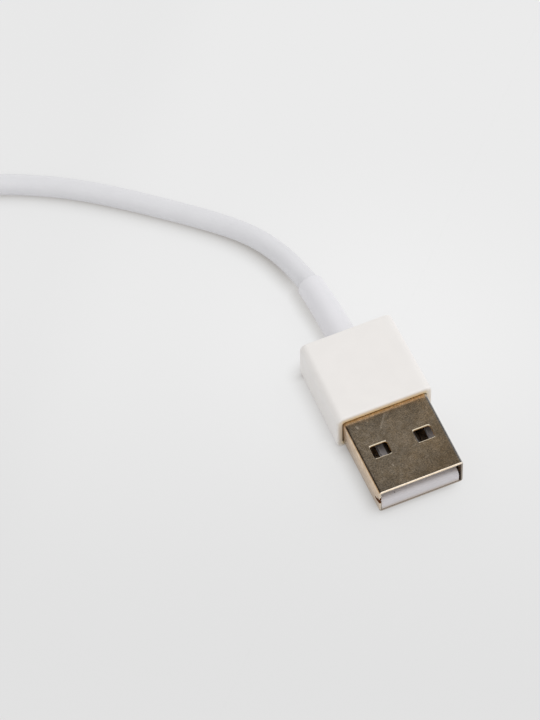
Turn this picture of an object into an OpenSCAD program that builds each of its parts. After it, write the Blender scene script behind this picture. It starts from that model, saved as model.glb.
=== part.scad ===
// Charging cable: a flat rectangular plug in a moulded grip on one end, a slim
// reversible plug on the other, and one metre of round cord between them.
// Millimetres. X runs across the plugs, +Y from the plug's tip towards its cord,
// Z up from the table. The origin is on the table under the middle of the first plug.

/* [Plug shell] */
// Width of the folded sheet shell
shell_w = 12.0; // [11.9:0.05:12.1]
// Height of the shell
shell_h = 4.5; // [4.4:0.05:4.6]
// Thickness of the sheet
sheet = 0.3; // [0.25:0.01:0.32]
// Length of the shell in front of the grip
shell_out = 11.85; // [11.75:0.05:12.5]
// Length of the shell held inside the grip
shell_in = 5.15; // [4.5:0.05:5.2]
// Outside radius of the shell's four long bends
shell_bend = 0.4; // [0.35:0.05:0.8]
// Bevel round the outside of the shell's mouth
mouth_bevel = 0.12; // [0.05:0.01:0.15]
// Width of each latch window
window_w = 2.5; // [2.2:0.1:2.7]
// Length of each latch window along the plug
window_l = 2.0; // [1.8:0.1:2.2]
// Distance from the middle of the plug to the middle of a window
window_x = 3.1; // [2.9:0.05:3.3]
// Distance from the tip to the middle of the windows
window_y = 6.2; // [6.0:0.05:6.5]

/* [Tongue and contacts] */
// Thickness of the white tongue inside the shell
tongue_t = 1.9; // [1.8:0.02:1.95]
// How far the tongue's nose sits behind the shell's edge
tongue_recess = 0.08; // [0.05:0.01:0.6]
// Radius along the upper edge of the nose
nose_r = 0.8; // [0.5:0.05:0.9]
// Width of the blade that the contacts lie on
blade_w = 11.1; // [10.9:0.05:11.2]
// Width of one contact strip
contact_w = 1.0; // [0.9:0.02:1.02]
// Thickness of the contact strip
contact_t = 0.25; // [0.2:0.01:0.26]
// Distance from the middle to the two inner contacts
contact_inner_x = 1.0; // [0.95:0.05:1.05]
// Distance from the middle to the two outer contacts
contact_outer_x = 3.5; // [3.45:0.05:3.55]
// Width of the open channel round each contact
channel_w = 1.5; // [1.3:0.05:1.6]

/* [Grip and sleeve] */
// Width of the grip at its front
grip_w = 13.7; // [13.4:0.1:15]
// Width of the grip at its rear, after the moulding draft
grip_rear_w = 13.3; // [13:0.1:14]
// Height of the grip
grip_h = 6.6; // [6.4:0.1:7.5]
// Length of the grip
grip_len = 12.95; // [12.6:0.05:14]
// Radius of the grip's four long edges
grip_edge = 1.0; // [0.8:0.1:1.5]
// Radius round the grip's front and rear faces
grip_rim = 0.3; // [0.2:0.05:0.4]
// Length of the soft sleeve behind the grip
sleeve_out = 10.8; // [10.6:0.1:11]
// Sleeve diameter where it leaves the grip
sleeve_d0 = 4.1; // [3.8:0.05:4.2]
// Sleeve diameter at its free end
sleeve_d1 = 3.7; // [3.4:0.05:3.8]

/* [Cord] */
// Diameter of the cord
cord_d = 2.9; // [2.8:0.05:3.0]

/* [Slim plug] */
// Width of the flat metal tab
tab_w = 6.7; // [6.6:0.05:6.8]
// Thickness of the tab
tab_t = 1.5; // [1.45:0.01:1.55]
// Length of the tab in front of its grip
tab_out = 6.7; // [6.5:0.1:6.9]
// Number of contact pads on each side of the tab
pads = 8; // [8:1:8]
// Distance from pad to pad
pad_pitch = 0.52; // [0.5:0.01:0.54]
// Width of the slim plug's grip
slim_w = 7.8; // [7.6:0.1:8.2]
// Height of the slim plug's grip
slim_h = 5.2; // [5.0:0.1:5.6]
// Length of the slim plug's grip
slim_len = 11.5; // [11.3:0.1:12]
// Length of the slim plug's sleeve
slim_sleeve_out = 10.5; // [10:0.1:10.5]

/* [Hidden] */
$fn = 48;
eps = 0.02;

// Corner points of an arc, in steps that divide a quarter turn
corner_steps = 5;

// Lengths along the first plug, measured from its tip
grip_y0 = shell_out;
grip_y1 = grip_y0 + grip_len;
own_len = grip_y1 + sleeve_out;
shell_end = shell_out + shell_in;
block_y0 = 9.4;
block_y1 = shell_end - 0.4;
shelf_y1 = block_y1 + 2.1;
can_y1 = shell_end + 3.9;
cord_y0 = can_y1 + 0.05;
crimp_y1 = cord_y0 + 1.7;
flange_y0 = grip_y1 - 2.0;
flange_y1 = grip_y1 - 1.2;

// Heights in the first plug, measured from the middle of the shell
inside_h = shell_h - 2 * sheet;
tongue_z0 = -inside_h / 2;
tongue_z1 = tongue_z0 + tongue_t;
channel_floor = tongue_z1 - contact_t - 0.05;
contact_top = channel_floor + contact_t;
wire_r = 0.27;
core_r = 0.16;
wire_z = contact_top + core_r;
wire_pitch = 0.56;

// Contacts and wires from left to right: place, first point, place in the cord
lanes = [
    [-contact_outer_x, 1.9, -1.5 * wire_pitch],
    [-contact_inner_x, 2.9, -0.5 * wire_pitch],
    [contact_inner_x, 2.9, 0.5 * wire_pitch],
    [contact_outer_x, 1.9, 1.5 * wire_pitch]
];

// The sleeve bends to one side and sags by this much at its free end
sleeve_side = -0.4;
sleeve_sag = -0.6;

// Slim plug: where it lies, and lengths measured from its tip
slim_x = -82.5;
slim_tip_y = -16.7;
slim_y0 = tab_out;
slim_y1 = slim_y0 + slim_len;
slim_own_len = slim_y1 + slim_sleeve_out;
pad_l = 3.0;
pad_w = 0.36;
pad_t = 0.12;
pad_y0 = 1.3;
insert_y0 = 0.9;
insert_y1 = 4.7;
insert_w = 5.0;
frame_end = slim_y0 + 2.6;
board_t = 0.5;
board_w = 4.8;
board_y1 = slim_y0 + 5.4;
slim_can_y1 = slim_y0 + 7.4;
slim_cord_y0 = slim_can_y1 + 0.05;
slim_crimp_y1 = slim_cord_y0 + 1.4;
slim_flange_y0 = slim_y1 - 1.7;
slim_flange_y1 = slim_y1 - 1.0;
slim_sleeve_d0 = 3.8;
slim_sleeve_d1 = 3.4;
slim_can_w = 6.8;
slim_can_h = 4.0;
can_t = 0.15;
slim_lanes = [-1.8, -0.6, 0.6, 1.8];

// Coil of the length that is put away: middle, radius and height of its turns
coil_at = [-64, 38];
coil_in_angle = 74;
coil_in_r = 21.5;
coil_out_r = 18.5;
coil_out_z = 6.7;
coil_in_stub = 12.48;
coil_out_stub = 14;
tie_angle = 146;
tie_w = 6;
tie_t = 0.4;

// Route of the cord from the sleeve's free end to the coil, and from the coil to the slim plug
cord_route = [
    [-0.8, 20.3, 2.3], [-1.4, 23.0, 2.0], [-2.3, 25.6, 1.8], [-3.6, 28.1, 1.7],
    [-5.4, 30.6, 1.6], [-7.4, 32.8, 1.5], [-9.5, 34.8, 1.5], [-13.8, 38.6, 1.5],
    [-18.2, 42.3, 1.5], [-22.7, 45.7, 1.5], [-27.4, 48.6, 1.5], [-32.3, 51.0, 1.5],
    [-35.6, 52.2, 1.5], [-39.0, 53.1, 1.5], [-42.6, 54.2, 1.5], [-46.05, 55.22, 1.5]
];
tail_route = [
    [-82.5, 24.0, 6.7], [-82.5, 23.2, 6.7], [-82.5, 21.8, 6.4], [-82.5, 19.5, 5.4], [-82.5, 17.0, 4.0],
    [-82.5, 14.5, 2.9], [-82.5, 12.0, 2.6], [-82.5, 7.0, 2.6], [-82.5, 0.0, 2.6],
    [-82.5, -2.55, 2.6]
];

// Colours
plating = [0.72, 0.66, 0.55];
grip_white = [0.93, 0.92, 0.90];
soft_white = [0.90, 0.90, 0.92];
contact_gold = [0.83, 0.66, 0.33];
tin = [0.75, 0.76, 0.78];
resin = [0.86, 0.85, 0.80];
board_green = [0.10, 0.35, 0.22];

// Outline and sweep helpers

// Corner arc about a centre, from one angle to another
function arc(c, r, a0, a1, n) =
    [for (i = [0:n]) c + r * [cos(a0 + (a1 - a0) * i / n), sin(a0 + (a1 - a0) * i / n)]];

// Rectangle with round corners about the origin
function round_box(w, h, r) = concat(
    arc([w / 2 - r, h / 2 - r], r, 0, 90, corner_steps),
    arc([-w / 2 + r, h / 2 - r], r, 90, 180, corner_steps),
    arc([-w / 2 + r, -h / 2 + r], r, 180, 270, corner_steps),
    arc([w / 2 - r, -h / 2 + r], r, 270, 360, corner_steps)
);

// Direction of a path at point i
function along(p, i) =
    let (d = p[min(i + 1, len(p) - 1)] - p[max(i - 1, 0)]) d / norm(d);

// Ring of n points round point i of a path
function ring(p, i, r, n) =
    let (t = along(p, i), s = cross(t, [0, 0, 1]), side = s / norm(s), up = cross(side, t))
    [for (k = [0:n - 1]) p[i] + r * (cos(360 * k / n) * side + sin(360 * k / n) * up)];

// Two triangles for each place between ring a and ring b
function band(a, b, n) = [
    for (k = [0:n - 1], half = [0, 1])
    let (m = (k + 1) % n)
    half == 0 ? [a * n + k, a * n + m, b * n + m] : [a * n + k, b * n + m, b * n + k]
];

// Solid round tube along a path, with its own radius at each point
module sweep(path, radii, sides) {
    count = len(path);
    points = [for (i = [0:count - 1]) each ring(path, i, radii[i], sides)];
    walls = [for (i = [0:count - 2]) each band(i, i + 1, sides)];
    first = [for (k = [sides - 1:-1:0]) k];
    last = [for (k = [0:sides - 1]) (count - 1) * sides + k];
    polyhedron(points = points, faces = concat([first], walls, [last]), convexity = 6);
}

// Hollow tube along a path: outer radii forwards, one bore radius back
module sleeve_sweep(path, radii, bore, sides) {
    count = len(path);
    outer = [for (i = [0:count - 1]) each ring(path, i, radii[i], sides)];
    inner = [for (i = [count - 1:-1:0]) each ring(path, i, bore, sides)];
    loops = 2 * count;
    faces = [for (i = [0:loops - 1]) each band(i, (i + 1) % loops, sides)];
    polyhedron(points = concat(outer, inner), faces = faces, convexity = 6);
}

// Flat outline in XZ, drawn out from y0 to y1
module along_y(y0, y1) {
    translate([0, y1, 0])
        rotate([90, 0, 0])
            linear_extrude(height = y1 - y0)
                children();
}

// Side outline in YZ, drawn out across the plug
module across_x(w, x = 0) {
    translate([x - w / 2, 0, 0])
        rotate([90, 0, 90])
            linear_extrude(height = w)
                children();
}

// Round bar from y0 to y1
module bar_y(d, y0, y1, x = 0, z = 0) {
    translate([x, y1, z])
        rotate([90, 0, 0])
            cylinder(d = d, h = y1 - y0);
}

// Box between two corners
module block(a, b) {
    translate(a)
        cube(b - a);
}

// Moulded block with round long edges, round rims and draft towards the rear
module moulded_block(w0, w1, h, y0, y1, edge, rim) {
    steps = [0:22.5:90];
    hull() {
        for (a = steps) {
            front = rim * (1 - sin(a));
            inset = rim * (1 - cos(a));
            along_y(y0 + inset, y0 + inset + eps)
                polygon(round_box(w0 - 2 * front, h - 2 * front, edge - front));
            along_y(y1 - inset - eps, y1 - inset)
                polygon(round_box(w1 - 2 * front, h - 2 * front, edge - front));
        }
    }
}

// Drop of solder with a flat foot, cut out for the wire's core
module solder_drop(x, y, z) {
    difference() {
        translate([x, y, z])
            rotate_extrude()
                polygon([[0, 0], [0.46, 0], [0.4, 0.24], [0.26, 0.4], [0, 0.46]]);
        bar_y(2 * core_r + eps, y - 0.12, y + 1, x, z + core_r);
    }
}

// Short insulated wire: bare core at the joint, then a bend into its place in the cord
module wire(x0, x1, y0, y1, z) {
    bare = 0.95;
    bend_y0 = y0 + 1.15;
    bend = y1 - bend_y0 - 0.35;
    path = concat(
        [[x0, y0, z], [x0, y0 + bare, z], [x0, y0 + bare + eps, z]],
        [for (i = [0:4]) let (t = i / 4) [
            x0 + (x1 - x0) * (1 - cos(180 * t)) / 2, bend_y0 + bend * t, z]],
        [[x1, y1, z]]
    );
    radii = [for (i = [0:len(path) - 1]) i < 2 ? core_r : wire_r];
    sweep(path, radii, 8);
}

module at_plug() {
    translate([0, -own_len / 2, grip_h / 2])
        children();
}

module at_slim() {
    translate([slim_x, slim_tip_y, slim_h / 2])
        children();
}

// First plug

// Round-cornered window through the top and bottom walls
module latch_window(x) {
    translate([x, window_y, -shell_h])
        linear_extrude(height = 2 * shell_h)
            polygon(round_box(window_w, window_l, 0.35));
}

// Dovetail in the fold's joint, drawn out by g on every side
function dovetail(y, g) =
    let (deep = 0.5, long = 1, flare = 0.2, spread = 1.5 * g)
    [[g, y - spread], [deep + g, y - flare - spread],
     [deep + g, y + long + flare + spread], [g, y + long + spread]];

// Butt joint of the sheet along the underside, with two dovetails that lock it
module fold_seam() {
    gap = 0.06;
    places = [3.4, 13.6];
    line = concat([[0, -1]], [for (y = places) each dovetail(y, 0)], [[0, shell_end + 1]]);
    far_side = concat([[gap, -1]], [for (y = places) each dovetail(y, gap)], [[gap, shell_end + 1]]);
    back = [for (i = [len(far_side) - 1:-1:0]) far_side[i]];
    translate([0, 0, -shell_h / 2 - eps])
        linear_extrude(height = sheet + 2 * eps)
            polygon(concat(line, back));
}

module plug_shell() {
    slit_l = 0.9;
    slit_h = 0.46;
    slit_z = 0.3;
    latch_hole = 0.8;
    color(plating)
        at_plug()
            difference() {
                hull() {
                    along_y(0, eps)
                        polygon(round_box(shell_w - 2 * mouth_bevel, shell_h - 2 * mouth_bevel,
                                          shell_bend - mouth_bevel));
                    along_y(mouth_bevel, shell_end)
                        polygon(round_box(shell_w, shell_h, shell_bend));
                }
                along_y(-1, shell_end + 1)
                    polygon(round_box(shell_w - 2 * sheet, inside_h, shell_bend - sheet));
                for (s = [-1, 1])
                    latch_window(s * window_x);
                fold_seam();
                // Short slit in the left wall at the mouth
                block([-shell_w, -1, slit_z - slit_h / 2], [-shell_w / 2 + sheet + 0.1, slit_l, slit_z + slit_h / 2]);
                // Holes that the tongue's block snaps into, inside the grip
                for (s = [-1, 1])
                    translate([s * 4, shell_end - 2.4, 0])
                        block([-latch_hole / 2, -0.6, 0], [latch_hole / 2, 0.6, shell_h]);
            }
}

module tongue() {
    w = shell_w - 2 * sheet - 0.1;
    blade_x0 = -w / 2;
    blade_x1 = blade_x0 + blade_w;
    y0 = tongue_recess;
    foot_r = 0.1;
    slot_top = contact_top + 0.02;
    outline = concat(
        arc([y0 + foot_r, tongue_z0 + foot_r], foot_r, 270, 180, corner_steps),
        arc([y0 + nose_r, tongue_z1 - nose_r], nose_r, 180, 90, corner_steps + 2),
        [[block_y0, tongue_z1], [block_y0, inside_h / 2 - 0.02], [block_y1, inside_h / 2 - 0.02],
         [block_y1, channel_floor], [shelf_y1, channel_floor], [shelf_y1, tongue_z0]]
    );
    color([0.95, 0.95, 0.94])
        at_plug()
            difference() {
                intersection() {
                    across_x(w)
                        polygon(outline);
                    along_y(0, shell_end + shell_in)
                        polygon(round_box(w, inside_h, shell_bend - sheet));
                }
                // The blade is narrower than its block and lies against the shell's left wall
                block([blade_x1, -1, -shell_h], [shell_w, block_y0, shell_h]);
                for (lane = lanes) {
                    // Open channel, the pocket for the turned-down nose, and the way through the block
                    block([lane[0] - channel_w / 2, lane[1] - 0.1, channel_floor],
                          [lane[0] + channel_w / 2, block_y0, shell_h]);
                    block([lane[0] - 0.52, lane[1] - 0.1, channel_floor - 0.7], [lane[0] + 0.52, lane[1] + 0.8, 0]);
                    block([lane[0] - 0.52, block_y0 - 0.1, channel_floor], [lane[0] + 0.52, block_y1 + 0.1, slot_top]);
                }
            }
}

// Stamped contact: turned-down nose, flat run, and tail on the solder shelf
module contact(lane) {
    y = lane[1];
    t = contact_t;
    color(contact_gold)
        at_plug()
            across_x(contact_w, lane[0])
                polygon([
                    [y, contact_top - 0.75], [y + 0.35, contact_top - 0.1], [y + 0.55, contact_top],
                    [shelf_y1 - 0.1, contact_top], [shelf_y1 - 0.1, contact_top - t],
                    [y + 0.7, contact_top - t], [y + 0.52, contact_top - t - 0.08],
                    [y + 0.22, contact_top - 0.82]
                ]);
}

module contact_power() { contact(lanes[3]); }
module contact_data_minus() { contact(lanes[2]); }
module contact_data_plus() { contact(lanes[1]); }
module contact_ground() { contact(lanes[0]); }

module solder_joints() {
    color(tin)
        at_plug()
            for (lane = lanes)
                solder_drop(lane[0], shelf_y1 - 0.8, contact_top);
}

module plug_wire(lane, tint) {
    color(tint)
        at_plug()
            wire(lane[0], lane[2], shelf_y1 - 0.9, cord_y0, wire_z);
}

module wire_red() { plug_wire(lanes[3], "red"); }
module wire_white() { plug_wire(lanes[2], "white"); }
module wire_green() { plug_wire(lanes[1], "green"); }
module wire_black() { plug_wire(lanes[0], [0.1, 0.1, 0.1]); }

module inner_mould() {
    w = shell_w - 0.5;
    h = shell_h - 0.5;
    room = 4.3;
    neck = 1.5;
    color(resin)
        at_plug()
            difference() {
                along_y(shell_end + 0.02, can_y1 - 0.25)
                    polygon(round_box(w, h, 0.4));
                // Room for the solder shelf, the joints and the wires
                block([-w, 0, tongue_z0 - 0.5], [w, shelf_y1 + 0.02, channel_floor]);
                translate([0, 0, channel_floor])
                    linear_extrude(height = 1)
                        polygon([
                            [-room, 0], [room, 0], [room, shelf_y1 + 0.6], [neck, can_y1 - 0.3],
                            [neck, can_y1 + 1], [-neck, can_y1 + 1], [-neck, can_y1 - 0.3],
                            [-room, shelf_y1 + 0.6]
                        ]);
            }
}

// Half of the stamped can behind the shell; s is 1 for the upper half, -1 for the lower
module half_can(s, w, h, r, t, y0, y1, hole) {
    top = s > 0 ? h : 0;
    low = s > 0 ? 0 : -h;
    difference() {
        along_y(y0, y1)
            polygon(round_box(w, h, r));
        along_y(y0 - 1, y1 - t)
            polygon(round_box(w - 2 * t, h - 2 * t, r - t));
        bar_y(hole, y0, y1 + 1);
        block([-w, y0 - 1, -top], [w, y1 + 1, -low]);
    }
}

module shield_upper() {
    color(tin)
        at_plug()
            half_can(1, shell_w, shell_h, shell_bend, 0.2, shell_end + 0.02, can_y1, cord_d + 0.04);
}

module shield_lower() {
    color(tin)
        at_plug()
            union() {
                half_can(-1, shell_w, shell_h, shell_bend, 0.2, shell_end + 0.02, can_y1, cord_d + 0.04);
                // Half-round wing that the crimp band closes onto the cord
                difference() {
                    bar_y(cord_d + 0.5, can_y1 - 0.1, crimp_y1);
                    bar_y(cord_d + 0.04, can_y1 - 1, crimp_y1 + 1);
                    block([-shell_w, can_y1 - 1, 0], [shell_w, crimp_y1 + 1, shell_h]);
                }
            }
}

module band_ring(d0, d1, y0, y1) {
    difference() {
        bar_y(d1, y0, y1);
        bar_y(d0, y0 - 1, y1 + 1);
    }
}

module crimp_band() {
    color(tin)
        at_plug()
            band_ring(cord_d + 0.54, cord_d + 1.1, can_y1 + 0.15, crimp_y1);
}

module grip_mould() {
    fit = 0.04;
    relief = 0.14;
    color(grip_white)
        at_plug()
            difference() {
                moulded_block(grip_w, grip_rear_w, grip_h, grip_y0, grip_y1, grip_edge, grip_rim);
                along_y(grip_y0 - 1, can_y1 + 0.02)
                    polygon(round_box(shell_w + fit, shell_h + fit, shell_bend));
                // Fine gap round the shell where it enters the grip
                along_y(grip_y0 - 1, grip_y0 + 0.4)
                    polygon(round_box(shell_w + relief, shell_h + relief, shell_bend));
                bar_y(5.2, can_y1 - 0.1, flange_y1 + 0.02);
                bar_y(sleeve_d0 + 0.06, flange_y1 - 0.1, grip_y1 + 1);
            }
}

// Middle of the sleeve at a distance behind the tip: straight in the grip, then bending
function sleeve_mid(y) =
    let (t = max(0, (y - grip_y1) / sleeve_out))
    [sleeve_side * t * t, y, sleeve_sag * t * t];

sleeve_stations = concat(
    [flange_y0, flange_y1, flange_y1 + eps],
    [for (i = [0:7]) grip_y1 + (sleeve_out - 0.35) * i / 7],
    [own_len - 0.15, own_len]
);

module strain_relief() {
    stops = len(sleeve_stations);
    radii = [for (i = [0:stops - 1])
        let (y = sleeve_stations[i], t = max(0, (y - grip_y1) / sleeve_out))
        i < 2 ? 2.55 :
        i == stops - 1 ? sleeve_d1 / 2 - 0.12 :
        (sleeve_d0 + (sleeve_d1 - sleeve_d0) * t) / 2
    ];
    color(soft_white)
        at_plug()
            sleeve_sweep([for (y = sleeve_stations) sleeve_mid(y)], radii, cord_d / 2 + 0.05, 24);
}

// Cord

plug_origin = [0, -own_len / 2, grip_h / 2];

module cord() {
    inside = [for (y = [cord_y0, flange_y0, grip_y1, grip_y1 + 3, grip_y1 + 6, grip_y1 + 9, own_len])
        plug_origin + sleeve_mid(y)];
    path = concat(inside, cord_route);
    color(soft_white)
        sweep(path, [for (p = path) cord_d / 2], 8);
}

module cord_tail() {
    color(soft_white)
        sweep(tail_route, [for (p = tail_route) cord_d / 2], 8);
}

// Outline of the turns: five on the table, four in their grooves, one on top
coil_outline = [
    [9.5, 0], [21.5, 0], [22.8, 0.75], [23, 1.5], [22.8, 2.25], [21.3, 4.85], [19.8, 7.45],
    [18.5, 8.2], [17.2, 7.45], [16.2, 5.6], [11, 5.6], [9.7, 4.85], [8.2, 2.25], [8, 1.5], [8.2, 0.75]
];

// The tie goes round the same turns without the hollow at the top turn, and the turns lie on it
tie_inner = [
    [8.6, tie_t], [22.3, tie_t], [22.8, 0.75], [23, 1.5], [22.8, 2.25], [19.8, 7.45], [19.1, 8.05],
    [18.5, 8.2], [17.6, 8.0], [10.6, 5.5], [9.7, 4.85], [8.2, 2.25], [8, 1.5], [8.2, 0.75]
];
tie_outer = [
    [8.2, 0], [22.7, 0], [23.2, 0.6], [23.4, 1.5], [23.18, 2.4], [20.15, 7.65], [19.3, 8.41],
    [18.5, 8.6], [17.5, 8.39], [10.4, 5.85], [9.35, 5.05], [7.82, 2.4], [7.6, 1.5], [7.8, 0.6]
];

module cord_coil() {
    stub_d = cord_d - 0.2;
    color(soft_white)
        translate([coil_at[0], coil_at[1], 0])
            union() {
                difference() {
                    rotate_extrude($fn = 96)
                        polygon(coil_outline);
                    // Room for the tie under and round the turns
                    rotate([0, 0, tie_angle])
                        difference() {
                            block([0, -tie_w / 2 - 0.05, -1], [30, tie_w / 2 + 0.05, 12]);
                            along_y(-tie_w, tie_w)
                                polygon(tie_inner);
                        }
                }
                // The turn that comes in from the first plug
                rotate([0, 0, coil_in_angle])
                    translate([coil_in_r, 0, cord_d / 2])
                        rotate([90, 0, 0])
                            cylinder(d = stub_d, h = coil_in_stub, $fn = 8);
                // The turn that leaves for the slim plug
                rotate([0, 0, 180])
                    translate([coil_out_r, coil_out_stub, coil_out_z])
                        rotate([90, 0, 0])
                            cylinder(d = stub_d, h = coil_out_stub, $fn = 8);
            }
}

module coil_tie() {
    color([0.93, 0.93, 0.94])
        translate([coil_at[0], coil_at[1], 0])
            rotate([0, 0, tie_angle])
                difference() {
                    along_y(-tie_w / 2, tie_w / 2)
                        polygon(tie_outer);
                    along_y(-tie_w, tie_w)
                        polygon(tie_inner);
                }
}

// Slim plug

module slim_frame() {
    tip_r = 1.4;
    tab_h = tab_t;
    color(tin)
        at_slim()
            difference() {
                intersection() {
                    along_y(0, frame_end)
                        polygon(round_box(tab_w, tab_h, tab_h / 2 - 0.01));
                    translate([0, frame_end, -tab_h])
                        linear_extrude(height = 2 * tab_h)
                            polygon(concat(
                                arc([-tab_w / 2 + tip_r, tip_r - frame_end], tip_r, 180, 270, corner_steps),
                                arc([tab_w / 2 - tip_r, tip_r - frame_end], tip_r, 270, 360, corner_steps),
                                [[tab_w / 2, 1], [-tab_w / 2, 1]]
                            ));
                }
                // Window for the insert, and the open slot behind it for the board
                translate([0, (insert_y0 + insert_y1) / 2, -tab_h])
                    linear_extrude(height = 2 * tab_h)
                        polygon(round_box(insert_w, insert_y1 - insert_y0, 0.4));
                block([-board_w / 2 - 0.05, insert_y1 - 0.6, -board_t / 2 - 0.02],
                    [board_w / 2 + 0.05, frame_end + 1, board_t / 2 + 0.02]);
                // Detents in both edges
                for (s = [-1, 1])
                    translate([s * (tab_w / 2 + 0.35), 3.1, -tab_h])
                        cylinder(d = 1.3, h = 2 * tab_h);
            }
}

module slim_insert() {
    color([0.92, 0.92, 0.9])
        at_slim()
            difference() {
                translate([0, (insert_y0 + insert_y1) / 2, -tab_t / 2 + 0.03])
                    linear_extrude(height = tab_t - 0.06)
                        polygon(round_box(insert_w - 0.04, insert_y1 - insert_y0 - 0.04, 0.38));
                for (s = [-1, 1])
                    pad_row(s, 0.02);
                // Slot that the board's front edge sits in
                block([-board_w / 2, insert_y1 - 0.6, -board_t / 2], [board_w / 2, insert_y1 + 1, board_t / 2]);
            }
}

// Row of pads on one face; grow widens it for the pockets
module pad_row(s, grow) {
    for (i = [0:pads - 1])
        translate([(i - (pads - 1) / 2) * pad_pitch, pad_y0 + pad_l / 2, s * (tab_t / 2 - pad_t / 2)])
            cube([pad_w + grow, pad_l + grow, pad_t + (grow > 0 ? grow : 0)], center = true);
}

module slim_contacts_top() {
    color(contact_gold)
        at_slim()
            pad_row(1, 0);
}

module slim_contacts_bottom() {
    color(contact_gold)
        at_slim()
            pad_row(-1, 0);
}

module slim_board() {
    color(board_green)
        at_slim()
            block([-board_w / 2, insert_y1 - 0.6, -board_t / 2], [board_w / 2, board_y1, board_t / 2]);
}

module slim_chip() {
    wide = 2.2;
    deep = 1.5;
    tall = 0.6;
    y = frame_end + 0.15;
    color([0.12, 0.12, 0.13])
        at_slim()
            block([-wide / 2, y, board_t / 2], [wide / 2, y + deep, board_t / 2 + tall]);
}

module slim_capacitors() {
    color([0.72, 0.6, 0.45])
        at_slim()
            for (x = [-1.6, 0, 1.6])
                translate([x, frame_end + 0.6, -board_t / 2 - 0.25])
                    cube([0.9, 0.5, 0.5], center = true);
}

module slim_solder_joints() {
    color(tin)
        at_slim()
            for (x = slim_lanes)
                solder_drop(x, board_y1 - 0.5, board_t / 2);
}

module slim_wire(i, tint) {
    color(tint)
        at_slim()
            wire(slim_lanes[i], (i - 1.5) * wire_pitch, board_y1 - 0.6, slim_cord_y0, board_t / 2 + core_r);
}

module slim_wire_red() { slim_wire(3, "red"); }
module slim_wire_white() { slim_wire(2, "white"); }
module slim_wire_green() { slim_wire(1, "green"); }
module slim_wire_black() { slim_wire(0, [0.1, 0.1, 0.1]); }

module slim_inner_mould() {
    w = slim_can_w - 2 * can_t - 0.04;
    h = slim_can_h - 2 * can_t - 0.04;
    room = 2.6;
    neck = 1.5;
    color(resin)
        at_slim()
            difference() {
                along_y(frame_end + 0.02, slim_can_y1 - can_t - 0.02)
                    polygon(round_box(w, h, 0.3));
                // Room for the board with its parts, and for the wires behind it
                block([-room, 0, -board_t / 2 - 0.55], [room, board_y1 + 0.02, board_t / 2 + 0.65]);
                translate([0, 0, -0.1])
                    linear_extrude(height = 1)
                        polygon([
                            [-room, 0], [room, 0], [room, board_y1 + 0.6], [neck, slim_can_y1 - 0.2],
                            [neck, slim_can_y1 + 1], [-neck, slim_can_y1 + 1], [-neck, slim_can_y1 - 0.2],
                            [-room, board_y1 + 0.6]
                        ]);
            }
}

module slim_shield_upper() {
    color(tin)
        at_slim()
            half_can(1, slim_can_w, slim_can_h, 0.5, can_t, frame_end + 0.02, slim_can_y1, cord_d + 0.04);
}

module slim_shield_lower() {
    color(tin)
        at_slim()
            half_can(-1, slim_can_w, slim_can_h, 0.5, can_t, frame_end + 0.02, slim_can_y1, cord_d + 0.04);
}

module slim_crimp_band() {
    color(tin)
        at_slim()
            band_ring(cord_d + 0.04, cord_d + 0.6, slim_can_y1 + 0.15, slim_crimp_y1);
}

module slim_grip() {
    color(grip_white)
        at_slim()
            difference() {
                moulded_block(slim_w, slim_w - 0.2, slim_h, slim_y0, slim_y1, grip_edge, grip_rim);
                // Seat of the tab, the can's room, the crimp's room and the sleeve's hole
                along_y(slim_y0 - 1, frame_end)
                    polygon(round_box(tab_w + 0.04, tab_t + 0.04, tab_t / 2));
                along_y(frame_end, slim_can_y1 + 0.02)
                    polygon(round_box(slim_can_w + 0.04, slim_can_h + 0.04, 0.5));
                bar_y(4.6, slim_can_y1 - 0.1, slim_flange_y1 + 0.02);
                bar_y(slim_sleeve_d0 + 0.04, slim_flange_y1 - 0.1, slim_y1 + 1);
            }
}

module slim_strain_relief() {
    bore = cord_d / 2 + 0.05;
    color(soft_white)
        at_slim()
            rotate([-90, 0, 0])
                rotate_extrude()
                    polygon([
                        [bore, slim_flange_y0], [2.25, slim_flange_y0], [2.25, slim_flange_y1],
                        [slim_sleeve_d0 / 2, slim_flange_y1], [slim_sleeve_d0 / 2, slim_y1],
                        [slim_sleeve_d1 / 2, slim_own_len - 0.15], [slim_sleeve_d1 / 2 - 0.1, slim_own_len],
                        [bore, slim_own_len]
                    ]);
}

plug_shell();
tongue();
contact_power();
contact_data_minus();
contact_data_plus();
contact_ground();
solder_joints();
wire_red();
wire_white();
wire_green();
wire_black();
inner_mould();
shield_upper();
shield_lower();
crimp_band();
grip_mould();
strain_relief();
cord();
cord_coil();
cord_tail();
coil_tie();
slim_frame();
slim_insert();
slim_contacts_top();
slim_contacts_bottom();
slim_board();
slim_chip();
slim_capacitors();
slim_solder_joints();
slim_wire_red();
slim_wire_white();
slim_wire_green();
slim_wire_black();
slim_inner_mould();
slim_shield_upper();
slim_shield_lower();
slim_crimp_band();
slim_grip();
slim_strain_relief();
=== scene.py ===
import math

import bmesh
import bpy
from bpy.props import FloatProperty, FloatVectorProperty, PointerProperty
from bpy.types import Operator, Panel, PropertyGroup
from mathutils import Matrix, Vector


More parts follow.
